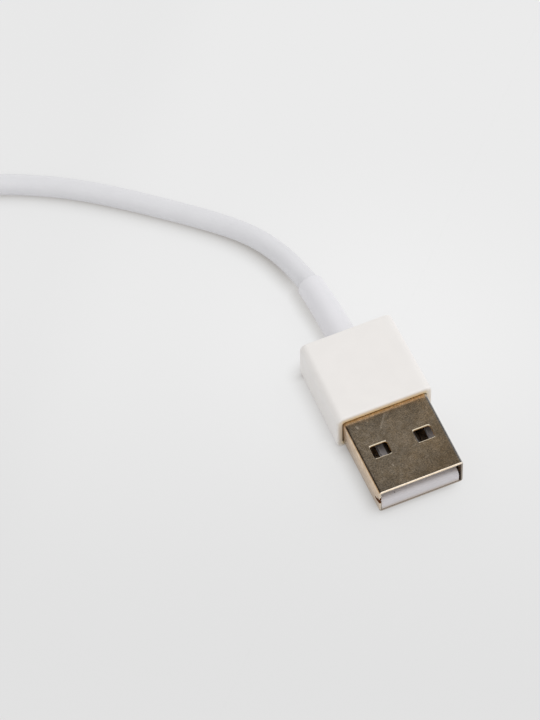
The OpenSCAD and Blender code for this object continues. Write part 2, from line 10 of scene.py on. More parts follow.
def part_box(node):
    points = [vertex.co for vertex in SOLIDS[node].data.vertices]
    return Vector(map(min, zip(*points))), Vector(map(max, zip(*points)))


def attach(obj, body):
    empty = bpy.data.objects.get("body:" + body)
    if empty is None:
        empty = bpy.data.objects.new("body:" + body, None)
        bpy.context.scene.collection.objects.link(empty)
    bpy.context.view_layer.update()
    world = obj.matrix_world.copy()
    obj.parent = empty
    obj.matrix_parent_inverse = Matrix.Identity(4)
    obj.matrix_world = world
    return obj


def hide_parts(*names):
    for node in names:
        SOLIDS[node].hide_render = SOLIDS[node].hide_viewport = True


bl_info = {
    "name": "Charging cable",
    "version": (1, 0, 0),
    "blender": (4, 5, 0),
    "location": "View3D > Sidebar > Cable",
    "description": "Builds the visible pieces of a charging cable round its packed solids",
    "category": "Add Mesh",
}

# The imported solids, in metres. +Y runs from the first plug's tip towards its cord.
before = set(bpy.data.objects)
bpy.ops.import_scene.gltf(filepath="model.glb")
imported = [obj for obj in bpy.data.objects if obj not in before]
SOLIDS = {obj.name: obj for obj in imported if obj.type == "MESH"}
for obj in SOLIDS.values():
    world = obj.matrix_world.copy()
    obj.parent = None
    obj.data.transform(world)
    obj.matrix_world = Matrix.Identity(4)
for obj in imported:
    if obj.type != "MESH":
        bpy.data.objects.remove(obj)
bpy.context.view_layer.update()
MM = 0.001


def tip_middle(node):
    """Middle of a plug's tip, from the box of its front node."""
    low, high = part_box(node)
    return Vector(((low.x + high.x) / 2, low.y, (low.z + high.z) / 2))


PLUG = tip_middle("plug_shell")
SLIM = tip_middle("slim_frame")

# Places along the first plug, in millimetres behind its tip
GRIP_FRONT = 11.85
GRIP_REAR = 24.8
SHELL_BEND = 0.4
CAN_REAR = 20.9
CORD_START = 20.95
SHELL_HALF = (6.0, 2.25)
FLANGE_FRONT = 22.8
FLANGE_REAR = 23.6
SLEEVE_END = 35.6

# The same places along the slim plug
SLIM_FRONT = 6.7
SLIM_REAR = 18.2
FRAME_REAR = 9.3
SLIM_CAN_REAR = 14.1
SLIM_FLANGE_FRONT = 16.5
SLIM_FLANGE_REAR = 17.2
SLIM_SLEEVE_END = 28.7

# Room between a sleeve and what it holds, and between two faces that meet
BORE_GAP = 0.03
CLEAR = 0.02

# Route of the cord in metres: from the sleeve to the coil, and from the coil to the slim plug
CORD_ROUTE = [
    (-0.0008, 0.0203, 0.0023), (-0.0014, 0.0230, 0.0020), (-0.0023, 0.0256, 0.0018),
    (-0.0036, 0.0281, 0.0017), (-0.0054, 0.0306, 0.0016), (-0.0074, 0.0328, 0.0015),
    (-0.0095, 0.0348, 0.0015), (-0.0138, 0.0386, 0.0015), (-0.0182, 0.0423, 0.0015),
    (-0.0227, 0.0457, 0.0015), (-0.0274, 0.0486, 0.0015), (-0.0323, 0.0510, 0.0015),
    (-0.0356, 0.0522, 0.0015), (-0.0390, 0.0531, 0.0015), (-0.0426, 0.0542, 0.0015),
    (-0.04605, 0.05522, 0.0015), (-0.0522, 0.05699, 0.0015),
]
TAIL_ROUTE = [
    (-0.0825, 0.0345, 0.0069), (-0.0825, 0.0310, 0.0071), (-0.0825, 0.0275, 0.0071),
    (-0.0825, 0.0240, 0.0068), (-0.0825, 0.0218, 0.0063), (-0.0825, 0.0195, 0.0054),
    (-0.0825, 0.0170, 0.0040), (-0.0825, 0.0145, 0.0029), (-0.0825, 0.0120, 0.0026),
    (-0.0825, 0.0070, 0.0026), (-0.0825, 0.0000, 0.0026), (-0.0825, -0.00255, 0.0026),
]

# Coil, in millimetres and turns: five turns on the table, four in their grooves, one on top
COIL_MIDDLE = Vector((-64.0, 38.0, 0.0))
COIL_START = math.radians(74)
COIL_TURNS = 9 + 106 / 360
PITCH = 3.0
LAYER_RISE = PITCH * math.sqrt(3) / 2
LOW_Z = PITCH / 2
OUTER_TURN = 21.5
INNER_TURN = 9.5
TIE_TURN = 0.2


# Properties

def length(name, text, default):
    return FloatProperty(name=name, description=text, default=default, unit="LENGTH", precision=5)


def share(name, text, default):
    return FloatProperty(name=name, description=text, default=default, min=0.0, max=1.0, subtype="FACTOR")


def tint(name, text, default):
    return FloatVectorProperty(name=name, description=text, default=default, size=3,
                               min=0.0, max=1.0, subtype="COLOR")


class StageSettings(PropertyGroup):
    floor_tint: tint("Floor", "Colour of the floor", (0.84, 0.84, 0.84))
    key_power: FloatProperty(name="Key lamp", description="Power of the large lamp beside the object",
                             default=0.9, min=0.0, unit="POWER")
    sky: FloatProperty(name="Sky", description="Strength of the even light from all round",
                       default=0.935, min=0.0)
    shadow_lift: share("Shadow lift", "How far the floor's own shade is lifted for the camera", 0.85)
    shade_depth: FloatProperty(name="Shade depth", description="How dark the shade close to the object is",
                               default=1.7, min=0.0)
    shade_reach: length("Shade reach", "How far away from things their shade on the floor begins", 0.0027)
    camera_distance: length("Camera distance", "From the camera to the middle of the first plug", 0.65)


class MetalSettings(PropertyGroup):
    plating: tint("Plating", "Warm plating of the folded sheet", (0.78, 0.632, 0.46))
    plating_dull: tint("Dull plating", "Plating in the finely dulled spots", (0.54, 0.418, 0.28))
    cut_edge: tint("Cut edge", "Sheet where it was cut", (0.95, 0.85, 0.72))
    sheared: tint("Sheared faces", "Sheet seen end on, at the mouth", (0.36, 0.31, 0.26))
    window_wall: tint("Window walls", "Sheet seen end on, in the windows", (0.55, 0.32, 0.12))
    # The window rims' colour is a painted highlight
    rim: tint("Window rims", "Highlighted rims of the windows", (0.84, 0.73, 0.55))
    rolled_rim: length("Rolled rims", "Width of the rounding across the windows", 0.0001)
    # The slit's colour is painted shade in and round the slit
    slit: tint("Slit", "Shaded walls of the short slit at the mouth", (0.10, 0.035, 0.01))
    contact: tint("Contacts", "Plated contact strips", (0.40, 0.33, 0.26))
    broken_edge: length("Broken edge", "Width of the broken edges of the sheet", 0.00004)


class MouldSettings(PropertyGroup):
    grip: tint("Grip", "Warm white of both grips", (0.893, 0.864, 0.838))
    sleeve: tint("Sleeve", "Cool white of the soft sleeves", (0.82, 0.813, 0.838))
    cord: tint("Cord", "White of the cord's jacket", (0.77, 0.766, 0.786))
    tongue: tint("Tongue", "White of the insulators", (0.67, 0.645, 0.665))
    grip_front: length("Front width", "Width of the grip at its front", 0.0137)
    grip_rear: length("Rear width", "Width of the grip at its rear", 0.0133)
    grip_height: length("Height", "Height of the grip", 0.0066)
    grip_edge: length("Long edges", "Radius of the grip's long edges", 0.001)
    grip_rim: length("Rims", "Radius round the grip's end faces", 0.0003)


class CordSettings(PropertyGroup):
    diameter: length("Diameter", "Diameter of the cord", 0.0029)
    sleeve_start: length("Sleeve start", "Diameter of the sleeve at the grip", 0.0041)
    sleeve_end: length("Sleeve end", "Diameter of the sleeve at its free end", 0.0037)
    sleeve_side: length("Sleeve bend", "How far the sleeve's end bends sideways", -0.0004)
    sleeve_sag: length("Sleeve sag", "How far the sleeve's end sags", -0.0006)
    tie_width: length("Tie width", "Width of the tie round the coil", 0.006)
    tie_thickness: length("Tie thickness", "Thickness of the tie", 0.0002)
    tie: tint("Tie", "Colour of the tie", (0.78, 0.78, 0.79))


class SlimSettings(PropertyGroup):
    pads: bpy.props.IntProperty(name="Pads", description="Pads on each side of the tab", default=8, min=1)
    pad_pitch: length("Pad pitch", "Distance from pad to pad", 0.00052)
    pad_width: length("Pad width", "Width of one pad", 0.00036)
    grip_width: length("Grip width", "Width of the slim grip", 0.0078)
    grip_height: length("Grip height", "Height of the slim grip", 0.0052)
    steel: tint("Steel", "Metal of the tab", (0.70, 0.70, 0.71))


GROUPS = {
    "cable_stage": StageSettings,
    "cable_metal": MetalSettings,
    "cable_mould": MouldSettings,
    "cable_cord": CordSettings,
    "cable_slim": SlimSettings,
}


# Node trees

def put(tree, kind, inputs=None, **settings):
    """A node with its settings and inputs. An input is a value, or the socket that feeds it."""
    node = tree.nodes.new(kind)
    for name, value in settings.items():
        setattr(node, name, value)
    for name, value in (inputs or {}).items():
        if isinstance(value, bpy.types.NodeSocket):
            tree.links.new(value, node.inputs[name])
        else:
            node.inputs[name].default_value = value
    return node


def math_node(tree, operation, *values, clamp=False):
    node = put(tree, "ShaderNodeMath", dict(enumerate(values)), operation=operation, use_clamp=clamp)
    return node.outputs[0]


def vector_node(tree, operation, *values, out=0):
    return put(tree, "ShaderNodeVectorMath", dict(enumerate(values)), operation=operation).outputs[out]


def blend_node(tree, factor, first, second):
    node = put(tree, "ShaderNodeMix", {0: factor, 6: first, 7: second}, data_type="RGBA")
    return node.outputs[2]


def span_node(tree, value, low, high, to_low=0.0, to_high=1.0, smooth=False):
    kind = "SMOOTHSTEP" if smooth else "LINEAR"
    node = put(tree, "ShaderNodeMapRange", {0: value, 1: low, 2: high, 3: to_low, 4: to_high},
               interpolation_type=kind)
    return node.outputs[0]


def fade_node(tree, value, low, high, smooth=False):
    """Falls from one to nought between two values."""
    return span_node(tree, value, low, high, 1.0, 0.0, smooth)


def local_axes(tree, place):
    """Millimetres from the middle of the first plug's tip."""
    offset = vector_node(tree, "SUBTRACT", place, PLUG)
    local = put(tree, "ShaderNodeVectorMath", {0: offset, "Scale": 1 / MM}, operation="SCALE").outputs[0]
    return put(tree, "ShaderNodeSeparateXYZ", {0: local}).outputs


def product(tree, *factors):
    total = factors[0]
    for factor in factors[1:]:
        total = math_node(tree, "MULTIPLY", total, factor)
    return total


def grey_of(tree, value):
    return put(tree, "ShaderNodeCombineColor", {0: value, 1: value, 2: value}).outputs[0]


def tinted(tree, colour, factor):
    """Colour times a factor or another colour."""
    node = put(tree, "ShaderNodeMix", {0: 1.0, 6: colour, 7: factor}, data_type="RGBA", blend_type="MULTIPLY")
    return node.outputs[2]


def new_group(name, inputs, outputs):
    tree = bpy.data.node_groups.new(name, "ShaderNodeTree")
    for label, kind, default in inputs:
        socket = tree.interface.new_socket(name=label, in_out="INPUT", socket_type=kind)
        if default is not None:
            socket.default_value = default
    for label, kind in outputs:
        tree.interface.new_socket(name=label, in_out="OUTPUT", socket_type=kind)
    return tree, tree.nodes.new("NodeGroupInput").outputs, tree.nodes.new("NodeGroupOutput").inputs


def grain_group():
    """Fine grain of a moulded or plated surface: bump, and roughness that drifts a little."""
    tree, source, result = new_group(
        "Surface grain",
        [("Vector", "NodeSocketVector", None), ("Scale", "NodeSocketFloat", 4000.0),
         ("Depth", "NodeSocketFloat", 0.000002), ("Roughness", "NodeSocketFloat", 0.4),
         ("Spread", "NodeSocketFloat", 0.05)],
        [("Normal", "NodeSocketVector"), ("Roughness", "NodeSocketFloat"), ("Mask", "NodeSocketFloat")])
    fine = put(tree, "ShaderNodeTexNoise",
               {"Vector": source["Vector"], "Scale": source["Scale"], "Detail": 3.0})
    broad_scale = math_node(tree, "MULTIPLY", source["Scale"], 0.06)
    broad = put(tree, "ShaderNodeTexNoise",
                {"Vector": source["Vector"], "Scale": broad_scale, "Detail": 2.0})
    bump = put(tree, "ShaderNodeBump", {"Height": fine.outputs[0], "Distance": source["Depth"]})
    drift = span_node(tree, broad.outputs[0], 0.3, 0.7, -1.0, 1.0)
    rough = math_node(tree, "MULTIPLY_ADD", drift, source["Spread"], source["Roughness"])
    tree.links.new(bump.outputs[0], result["Normal"])
    tree.links.new(rough, result["Roughness"])
    tree.links.new(fine.outputs[0], result["Mask"])
    return tree


def tone_group():
    """Colour that drifts in soft patches between a tint and a darker one."""
    tree, source, result = new_group(
        "Uneven tone",
        [("Vector", "NodeSocketVector", None), ("Tint", "NodeSocketColor", None),
         ("Second Tint", "NodeSocketColor", None), ("Scale", "NodeSocketFloat", 200.0),
         ("Amount", "NodeSocketFloat", 1.0)],
        [("Color", "NodeSocketColor")])
    noise = put(tree, "ShaderNodeTexNoise",
                {"Vector": source["Vector"], "Scale": source["Scale"], "Detail": 4.0})
    mask = span_node(tree, noise.outputs[0], 0.35, 0.65, smooth=True)
    amount = math_node(tree, "MULTIPLY", mask, source["Amount"])
    tree.links.new(blend_node(tree, amount, source["Tint"], source["Second Tint"]), result["Color"])
    return tree


def mark_group():
    """Mask of one straight scratch between two points, or of a speck where they are the same."""
    tree, source, result = new_group(
        "Straight mark",
        [("Vector", "NodeSocketVector", None), ("Start", "NodeSocketVector", None),
         ("End", "NodeSocketVector", None), ("Width", "NodeSocketFloat", 0.0001)],
        [("Mask", "NodeSocketFloat")])
    run = vector_node(tree, "SUBTRACT", source["End"], source["Start"])
    offset = vector_node(tree, "SUBTRACT", source["Vector"], source["Start"])
    along = vector_node(tree, "DOT_PRODUCT", offset, run, out=1)
    square = math_node(tree, "MAXIMUM", vector_node(tree, "DOT_PRODUCT", run, run, out=1), 1e-12)
    place = math_node(tree, "DIVIDE", along, square, clamp=True)
    nearest = put(tree, "ShaderNodeVectorMath", {0: run, "Scale": place}, operation="SCALE").outputs[0]
    gap = vector_node(tree, "DISTANCE", offset, nearest, out=1)
    mask = fade_node(tree, gap, 0.0, source["Width"], smooth=True)
    tree.links.new(mask, result["Mask"])
    return tree


EFFECTS = {}


def effect(tree, name, **inputs):
    """Places one of the shared groups in a material."""
    build = {"grain": grain_group, "tone": tone_group, "mark": mark_group}
    if name not in EFFECTS:
        EFFECTS[name] = build[name]()
    node = tree.nodes.new("ShaderNodeGroup")
    node.node_tree = EFFECTS[name]
    for label, value in inputs.items():
        socket = node.inputs[label.replace("_", " ")]
        if isinstance(value, bpy.types.NodeSocket):
            tree.links.new(value, socket)
        else:
            socket.default_value = value
    return node.outputs


def rgba(colour, factor=1.0):
    return (colour[0] * factor, colour[1] * factor, colour[2] * factor, 1.0)


def start_material(name):
    """An empty material with its shader and the piece's own coordinates."""
    material = bpy.data.materials.new(name)
    material.use_nodes = True
    tree = material.node_tree
    tree.nodes.clear()
    shader = tree.nodes.new("ShaderNodeBsdfPrincipled")
    output = tree.nodes.new("ShaderNodeOutputMaterial")
    tree.links.new(shader.outputs[0], output.inputs[0])
    place = tree.nodes.new("ShaderNodeTexCoord").outputs["Object"]
    return material, tree, shader, place


def feed(tree, shader, colour, rough, normal):
    for label, socket in (("Base Color", colour), ("Roughness", rough), ("Normal", normal)):
        tree.links.new(socket, shader.inputs[label])


def darker(colour, factor):
    return [channel * factor for channel in colour]


def moulded(name, colour, roughness, grain=5000.0, specular=0.5):
    """Moulded plastic or soft jacket with fine grain and a faint drift of tone."""
    material, tree, shader, place = start_material(name)
    tone = effect(tree, "tone", Vector=place, Tint=rgba(colour), Second_Tint=rgba(colour, 0.985), Scale=350.0)
    surface = effect(tree, "grain", Vector=place, Scale=grain, Depth=0.0000015, Roughness=roughness,
                     Spread=0.04)
    feed(tree, shader, tone["Color"], surface["Roughness"], surface["Normal"])
    shader.inputs["Specular IOR Level"].default_value = specular
    return material


def metal(name, colour, dull, roughness, grain=4000.0, depth=0.000002):
    """Plain metal with fine grain and slightly duller patches."""
    material, tree, shader, place = start_material(name)
    tone = effect(tree, "tone", Vector=place, Tint=rgba(colour), Second_Tint=rgba(dull), Scale=900.0)
    surface = effect(tree, "grain", Vector=place, Scale=grain, Depth=depth, Roughness=roughness, Spread=0.05)
    feed(tree, shader, tone["Color"], surface["Roughness"], surface["Normal"])
    shader.inputs["Metallic"].default_value = 1.0
    return material


def at_plug(x, y, z):
    """A point of the first plug, from millimetres behind its tip."""
    return PLUG + Vector((x, y, z)) * MM


def top_brightness(tree, axes):
    """How bright the top is: darker at the mouth, the grip, the left bend and the right corner."""
    mouth = span_node(tree, axes[1], 0.4, 3.8, 0.86, 1.06, smooth=True)
    rear = span_node(tree, axes[1], 9.4, 11.3, 1.0, 0.82, smooth=True)
    left = span_node(tree, axes[0], -5.8, -4.3, 0.85, 1.0, smooth=True)
    corner = math_node(tree, "MULTIPLY_ADD", axes[1], -0.9, axes[0])
    right = span_node(tree, corner, -2.5, 4.5, 1.0, 0.78, smooth=True)
    return product(tree, mouth, rear, left, right)


def bare_and_shaded_edges(tree, axes):
    """Mask of the lower lip and the right wall at the mouth, where the plating is gone and painted shade
    darkens the bare sheet.
    """
    mouth = fade_node(tree, axes[1], 0.15, 0.35)
    low = fade_node(tree, axes[2], -1.8, -1.6)
    wall = product(tree, span_node(tree, axes[0], 5.3, 5.5), fade_node(tree, axes[2], 1.9, 2.1))
    return product(tree, mouth, math_node(tree, "MAXIMUM", low, wall))


def shifted(tree, mask, colour, tint):
    """Colour that takes on a tint where the mask says so."""
    return blend_node(tree, mask, colour, tinted(tree, colour, rgba(tint)))


# Tints of painted light, painted shade and painted reflection, and of one dark speck
BEND_REFLECTION_GREY = (0.60, 0.57, 0.53, 1)
PLATING_GLOW = (0.78, 0.62, 0.36, 1)
TONGUE_FOOT_SHADE = (0.52, 0.45, 0.40, 1)
DEEP_INSIDE_SHADE = (0.05, 0.045, 0.04, 1)
CHANNEL_SHADE = (0.085, 0.065, 0.05, 1)
TONGUE_SLIT_SHADE = (0.09, 0.03, 0.008, 1)
DARK_SPECK = (0.02, 0.02, 0.02, 1)

# Two arms of the slit's painted shade, and the light marks on the top: start, end, width, strength
SLIT_SHADE_ARMS = (((-6.0, 1.15, -0.4), (-6.0, -0.05, 0.1), 0.00042),
              ((-5.95, -0.02, 0.1), (-5.88, -0.02, 0.95), 0.00022))
TOP_MARKS = (((-0.4, 11.1, 2.25), (-1.9, 9.0, 2.25), 0.00022, 0.2),
             ((-4.6, 10.7, 2.25), (-4.5, 10.4, 2.25), 0.00024, 0.35),
             ((-2.6, 3.5, 2.25), (-2.6, 3.3, 2.25), 0.0002, 0.35))


def slit_shade(tree, shader, place, colour, slit_dark):
    """Colour with the slit's painted shade, a dark brown mark that runs back and up from it, where the
    surface is dull as well.
    """
    mask = 0.0
    for start, end, width in SLIT_SHADE_ARMS:
        mark = effect(tree, "mark", Vector=place, Start=at_plug(*start), End=at_plug(*end), Width=width)
        mask = math_node(tree, "MAXIMUM", mark["Mask"], mask)
    mask = span_node(tree, mask, 0.1, 0.5)
    tree.links.new(math_node(tree, "SUBTRACT", 1.0, mask), shader.inputs["Metallic"])
    shader.inputs["Specular IOR Level"].default_value = 0.0
    return blend_node(tree, mask, colour, rgba(slit_dark))


def plating_material(s):
    """Warm plating: fine grit, soft stains, one long scratch and two light specks on its top, with painted
    shade on its sides and at the mouth and painted reflections along its bends.
    """
    material, tree, shader, place = start_material("warm plating")
    axes = local_axes(tree, place)
    grit = put(tree, "ShaderNodeTexNoise",
               {"Vector": place, "Scale": 5200.0, "Detail": 1.0, "Roughness": 0.7})
    gritty = span_node(tree, grit.outputs[0], 0.3, 0.7, 0.62, 1.25)
    patches = effect(tree, "tone", Vector=place, Tint=rgba(s.plating), Second_Tint=rgba(s.plating_dull, 1.15),
                     Scale=1900.0)
    stains = effect(tree, "tone", Vector=place, Tint=patches["Color"], Second_Tint=rgba(s.plating_dull),
                    Scale=330.0, Amount=0.3)
    on_top = span_node(tree, axes[2], 2.1, 2.24)
    gritty, kept = (math_node(tree, "MULTIPLY_ADD", math_node(tree, "SUBTRACT", factor, 1.0), on_top, 1.0)
                    for factor in (gritty, top_brightness(tree, axes)))
    # Painted shade: darker towards the table and towards the grip on the sides
    foot_shade = span_node(tree, axes[2], -2.0, 1.6, 0.69, 1.08)
    foot_shade = product(tree, foot_shade, span_node(tree, axes[1], 9.0, 11.0, 1.0, 0.8))
    foot_shade = math_node(tree, "MAXIMUM", foot_shade, on_top)
    kept = product(tree, kept, gritty, foot_shade)
    colour = tinted(tree, stains["Color"], grey_of(tree, kept))
    # Browner to the right and at the mouth, in clouds
    cloud = put(tree, "ShaderNodeTexNoise", {"Vector": place, "Scale": 420.0, "Detail": 3.0}).outputs[0]
    side = math_node(tree, "MULTIPLY_ADD", axes[1], -0.35, axes[0])
    side = math_node(tree, "MULTIPLY_ADD", cloud, 14.0, math_node(tree, "SUBTRACT", side, 7.0))
    warm = product(tree, span_node(tree, side, -6.0, 4.5, smooth=True), on_top)
    colour = shifted(tree, warm, colour, (1.0, 0.94, 0.86))
    browned = fade_node(tree, axes[2], 1.2, 2.2)
    colour = shifted(tree, browned, colour, (1.0, 0.92, 0.84))
    # Painted dark reflection along the left bend
    left_bend_reflection = product(tree, fade_node(tree, axes[0], -5.95, -5.7), span_node(tree, axes[2], 1.9, 2.05))
    colour = shifted(tree, left_bend_reflection, colour, (0.85, 0.7, 0.55))
    # Browner next to the grip, and a painted grey reflection along the right bend
    rear = product(tree, span_node(tree, axes[1], 10.7, 11.3, smooth=True),
                   span_node(tree, axes[2], 2.0, 2.2))
    colour = shifted(tree, rear, colour, (1.0, 0.93, 0.86))
    bend = product(tree, span_node(tree, axes[0], 5.55, 5.75), span_node(tree, axes[2], 1.0, 1.4))
    colour = blend_node(tree, bend, colour, BEND_REFLECTION_GREY)
    wear_and_shade = 0.0
    for start, end, width, strength in TOP_MARKS:
        mark = effect(tree, "mark", Vector=place, Start=at_plug(*start), End=at_plug(*end), Width=width)
        wear_and_shade = math_node(tree, "MAXIMUM", math_node(tree, "MULTIPLY", mark["Mask"], strength), wear_and_shade)
    surface = effect(tree, "grain", Vector=place, Scale=7000.0, Depth=0.000004, Roughness=0.22, Spread=0.05)
    colour = blend_node(tree, wear_and_shade, colour, rgba(s.cut_edge))
    # Bare sheet with painted shade at the lower lip and the right wall of the mouth
    colour = blend_node(tree, bare_and_shaded_edges(tree, axes), colour, rgba(s.sheared, 0.95))
    colour = slit_shade(tree, shader, place, colour, s.slit)
    rough = math_node(tree, "MULTIPLY_ADD", wear_and_shade, 0.4, surface["Roughness"])
    feed(tree, shader, colour, rough, surface["Normal"])
    return material


def principled(material):
    """The shader of a finished material, what feeds its colour, and the place that the colour depends on."""
    tree = material.node_tree
    shader = next(node for node in tree.nodes if node.type == "BSDF_PRINCIPLED")
    place = tree.nodes.new("ShaderNodeTexCoord").outputs["Object"]
    return tree, shader.inputs["Base Color"], shader.inputs["Base Color"].links[0].from_socket, place


# Meshes

def in_scene(name, data):
    made = bpy.data.objects.new(name, data)
    bpy.context.scene.collection.objects.link(made)
    return made


def link(name, mesh, *materials):
    mesh.name = name
    piece = in_scene(name, mesh)
    mesh.materials.clear()
    for material in materials:
        mesh.materials.append(material)
    return piece


def smooth(mesh, angle=35):
    mesh.shade_smooth()
    mesh.set_sharp_from_angle(angle=math.radians(angle))


def loft(name, loops, material):
    """Closed skin through loops of equal count, the last joined to the first."""
    count, around = len(loops), len(loops[0])
    points = [point for ring in loops for point in ring]
    faces = []
    for i in range(count):
        a, b = i * around, (i + 1) % count * around
        faces += [(a + k, a + (k + 1) % around, b + (k + 1) % around, b + k) for k in range(around)]
    mesh = bpy.data.meshes.new(name)
    mesh.from_pydata(points, [], faces)
    skin = bmesh.new()
    skin.from_mesh(mesh)
    bmesh.ops.recalc_face_normals(skin, faces=skin.faces)
    skin.to_mesh(mesh)
    skin.free()
    smooth(mesh)
    return link(name, mesh, material)


STRAIGHT = (0.0, 0.3, 0.6, 0.86, 0.97)
BEND_STEPS = 8


def box_quarter(width, height, radius):
    """A quarter of a round-cornered rectangle, from the middle of +X to the middle of +Z."""
    x, z = width / 2, height / 2
    up = [(x, (z - radius) * t) for t in STRAIGHT]
    turns = [math.pi / 2 * i / BEND_STEPS for i in range(BEND_STEPS + 1)]
    bend = [(x - radius + radius * math.cos(a), z - radius + radius * math.sin(a)) for a in turns]
    across = [((x - radius) * t, z) for t in reversed(STRAIGHT)]
    return up + bend + across


def round_quarter(radius):
    """A quarter circle with as many points as box_quarter."""
    last = 2 * len(STRAIGHT) + BEND_STEPS
    return [(radius * math.cos(math.pi / 2 * i / last), radius * math.sin(math.pi / 2 * i / last))
            for i in range(last + 1)]


def full_loop(quarter, y, origin):
    """The whole outline at y, from its quarter; sizes in millimetres round origin."""
    back = quarter[::-1]
    outline = (quarter + [(-x, z) for x, z in back[1:]] + [(-x, -z) for x, z in quarter[1:]]
               + [(x, -z) for x, z in back[1:-1]])
    return [origin + Vector((x, y, z)) * MM for x, z in outline]


RIM_STEPS = 6


def moulded_grip(name, origin, front, rear, height, y0, y1, edge, rim, inside, material):
    """Block with round long edges and rims; inside is its bore from the rear face to the front face."""
    sections = []

    def section(y, inset):
        along = (y - y0) / (y1 - y0)
        width = front + (rear - front) * along
        sections.append((box_quarter(width - 2 * inset, height - 2 * inset, max(edge - inset, 0.1)), y))

    turns = [math.pi / 2 * i / RIM_STEPS for i in range(RIM_STEPS + 1)]
    section(y0, rim + 0.06)
    for a in turns:
        section(y0 + rim * (1 - math.cos(a)), rim * (1 - math.sin(a)))
    for y in (y0 + rim + 0.06, (2 * y0 + y1) / 3, (y0 + 2 * y1) / 3, y1 - rim - 0.06):
        section(y, 0.0)
    for a in reversed(turns):
        section(y1 - rim * (1 - math.cos(a)), rim * (1 - math.sin(a)))
    section(y1, rim + 0.06)
    loops = [full_loop(quarter, y, origin) for quarter, y in sections + inside]
    return loft(name, loops, material)


def ring(middle, along, radius, around=40):
    """Circle of points round a path."""
    side = along.cross(Vector((0, 0, 1))).normalized()
    up = side.cross(along).normalized()
    turns = [2 * math.pi * k / around for k in range(around)]
    return [middle + radius * (math.cos(a) * side + math.sin(a) * up) for a in turns]


def sleeve_skin(name, path_at, stations, bore, material):
    """Tapered sleeve with its bore; stations are (distance, radius), path_at gives place and direction."""
    loops = []
    for y, radius in stations:
        middle, along = path_at(y)
        loops.append(ring(middle, along, radius * MM))
    for y in [station[0] for station in reversed(stations)]:
        middle, along = path_at(y)
        loops.append(ring(middle, along, bore * MM))
    return loft(name, loops, material)


SLEEVE_ROUND = 0.14


def sleeve_stations(flange, grip_rear, end, flange_radius, first, last, steps):
    """Distances and radii of a sleeve: its flange, its taper from the grip on, and its rounded end."""
    straight = end - SLEEVE_ROUND
    taper = [(grip_rear + (straight - grip_rear) * i / steps, first + (last - first) * i / steps)
             for i in range(steps + 1)]
    rounded = [(straight + SLEEVE_ROUND * math.sin(a), last - SLEEVE_ROUND * (1 - math.cos(a)))
               for a in (0.35, 0.7, 1.05, 1.4)]
    return [(y, flange_radius) for y in flange] + [(flange[1] + CLEAR, first)] + taper + rounded


def broken_edges(piece, width, material=0):
    """Bevel on every edge sharper than the form's own round bends."""
    bevel = piece.modifiers.new("broken edges", "BEVEL")
    bevel.width = width
    bevel.segments = 2
    bevel.limit_method = "ANGLE"
    bevel.angle_limit = math.radians(40)
    bevel.use_clamp_overlap = False
    bevel.harden_normals = False
    bevel.material = material
    return piece


def finer_copy(node, name, edge, *materials):
    """The node's own solid with its triangles joined, its edges broken and its finish on it."""
    mesh = SOLIDS[node].data.copy()
    skin = bmesh.new()
    skin.from_mesh(mesh)
    bmesh.ops.remove_doubles(skin, verts=skin.verts, dist=2e-6)
    bmesh.ops.dissolve_limit(skin, angle_limit=math.radians(0.5), verts=skin.verts, edges=skin.edges)
    skin.to_mesh(mesh)
    skin.free()
    smooth(mesh)
    piece = link(name, mesh, *materials)
    broken_edges(piece, edge, material=len(materials) - 1)
    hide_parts(node)
    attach(piece, "root")
    return piece


def rolled_rims(piece, width, material):
    """Rounds the rims that run across the windows, where the punch drew the sheet in."""
    mesh = piece.data
    weight = mesh.attributes.new("bevel_weight_edge", "FLOAT", "EDGE")
    for edge in mesh.edges:
        a, b = ((mesh.vertices[i].co - PLUG) / MM for i in edge.vertices)
        middle, run = (a + b) / 2, b - a
        outside = all(abs(abs(end.z) - SHELL_HALF[1]) < 0.01 for end in (a, b))
        round_window = 1.75 < abs(middle.x) < 4.45 and 5.1 < middle.y < 7.3
        if outside and round_window and abs(run.x) > abs(run.y) and run.length < 2.4:
            weight.data[edge.index].value = 1.0
    roll = piece.modifiers.new("rolled rims", "BEVEL")
    roll.width = width
    roll.segments = 3
    roll.limit_method = "WEIGHT"
    roll.use_clamp_overlap = False
    roll.material = material
    piece.modifiers.move(len(piece.modifiers) - 1, 0)


def finish_node(node, material):
    """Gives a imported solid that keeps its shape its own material."""
    mesh = SOLIDS[node].data
    mesh.materials.clear()
    mesh.materials.append(material)


def baked(piece, name):
    """A plain mesh from a piece whose geometry nodes are done."""
    graph = bpy.context.evaluated_depsgraph_get()
    mesh = bpy.data.meshes.new_from_object(piece.evaluated_get(graph))
    data = piece.data
    bpy.data.objects.remove(piece)
    if isinstance(data, bpy.types.Curve):
        bpy.data.curves.remove(data)
    else:
        bpy.data.meshes.remove(data)
    mesh.name = name
    return in_scene(name, mesh)


def with_nodes(piece, tree, **inputs):
    """Puts a geometry tree on a piece, its inputs set by their identifiers."""
    modifier = piece.modifiers.new(tree.name, "NODES")
    modifier.node_group = tree
    for item in tree.interface.items_tree:
        if item.in_out == "INPUT" and item.name in inputs:
            modifier[item.identifier] = inputs[item.name]
    return piece


def new_geometry(name, inputs):
    """Geometry tree with named inputs."""
    tree = bpy.data.node_groups.new(name, "GeometryNodeTree")
    tree.interface.new_socket(name="Geometry", in_out="INPUT", socket_type="NodeSocketGeometry")
    for label, kind in inputs:
        tree.interface.new_socket(name=label, in_out="INPUT", socket_type=kind)
    tree.interface.new_socket(name="Geometry", in_out="OUTPUT", socket_type="NodeSocketGeometry")
    return tree, tree.nodes.new("NodeGroupInput").outputs, tree.nodes.new("NodeGroupOutput").inputs


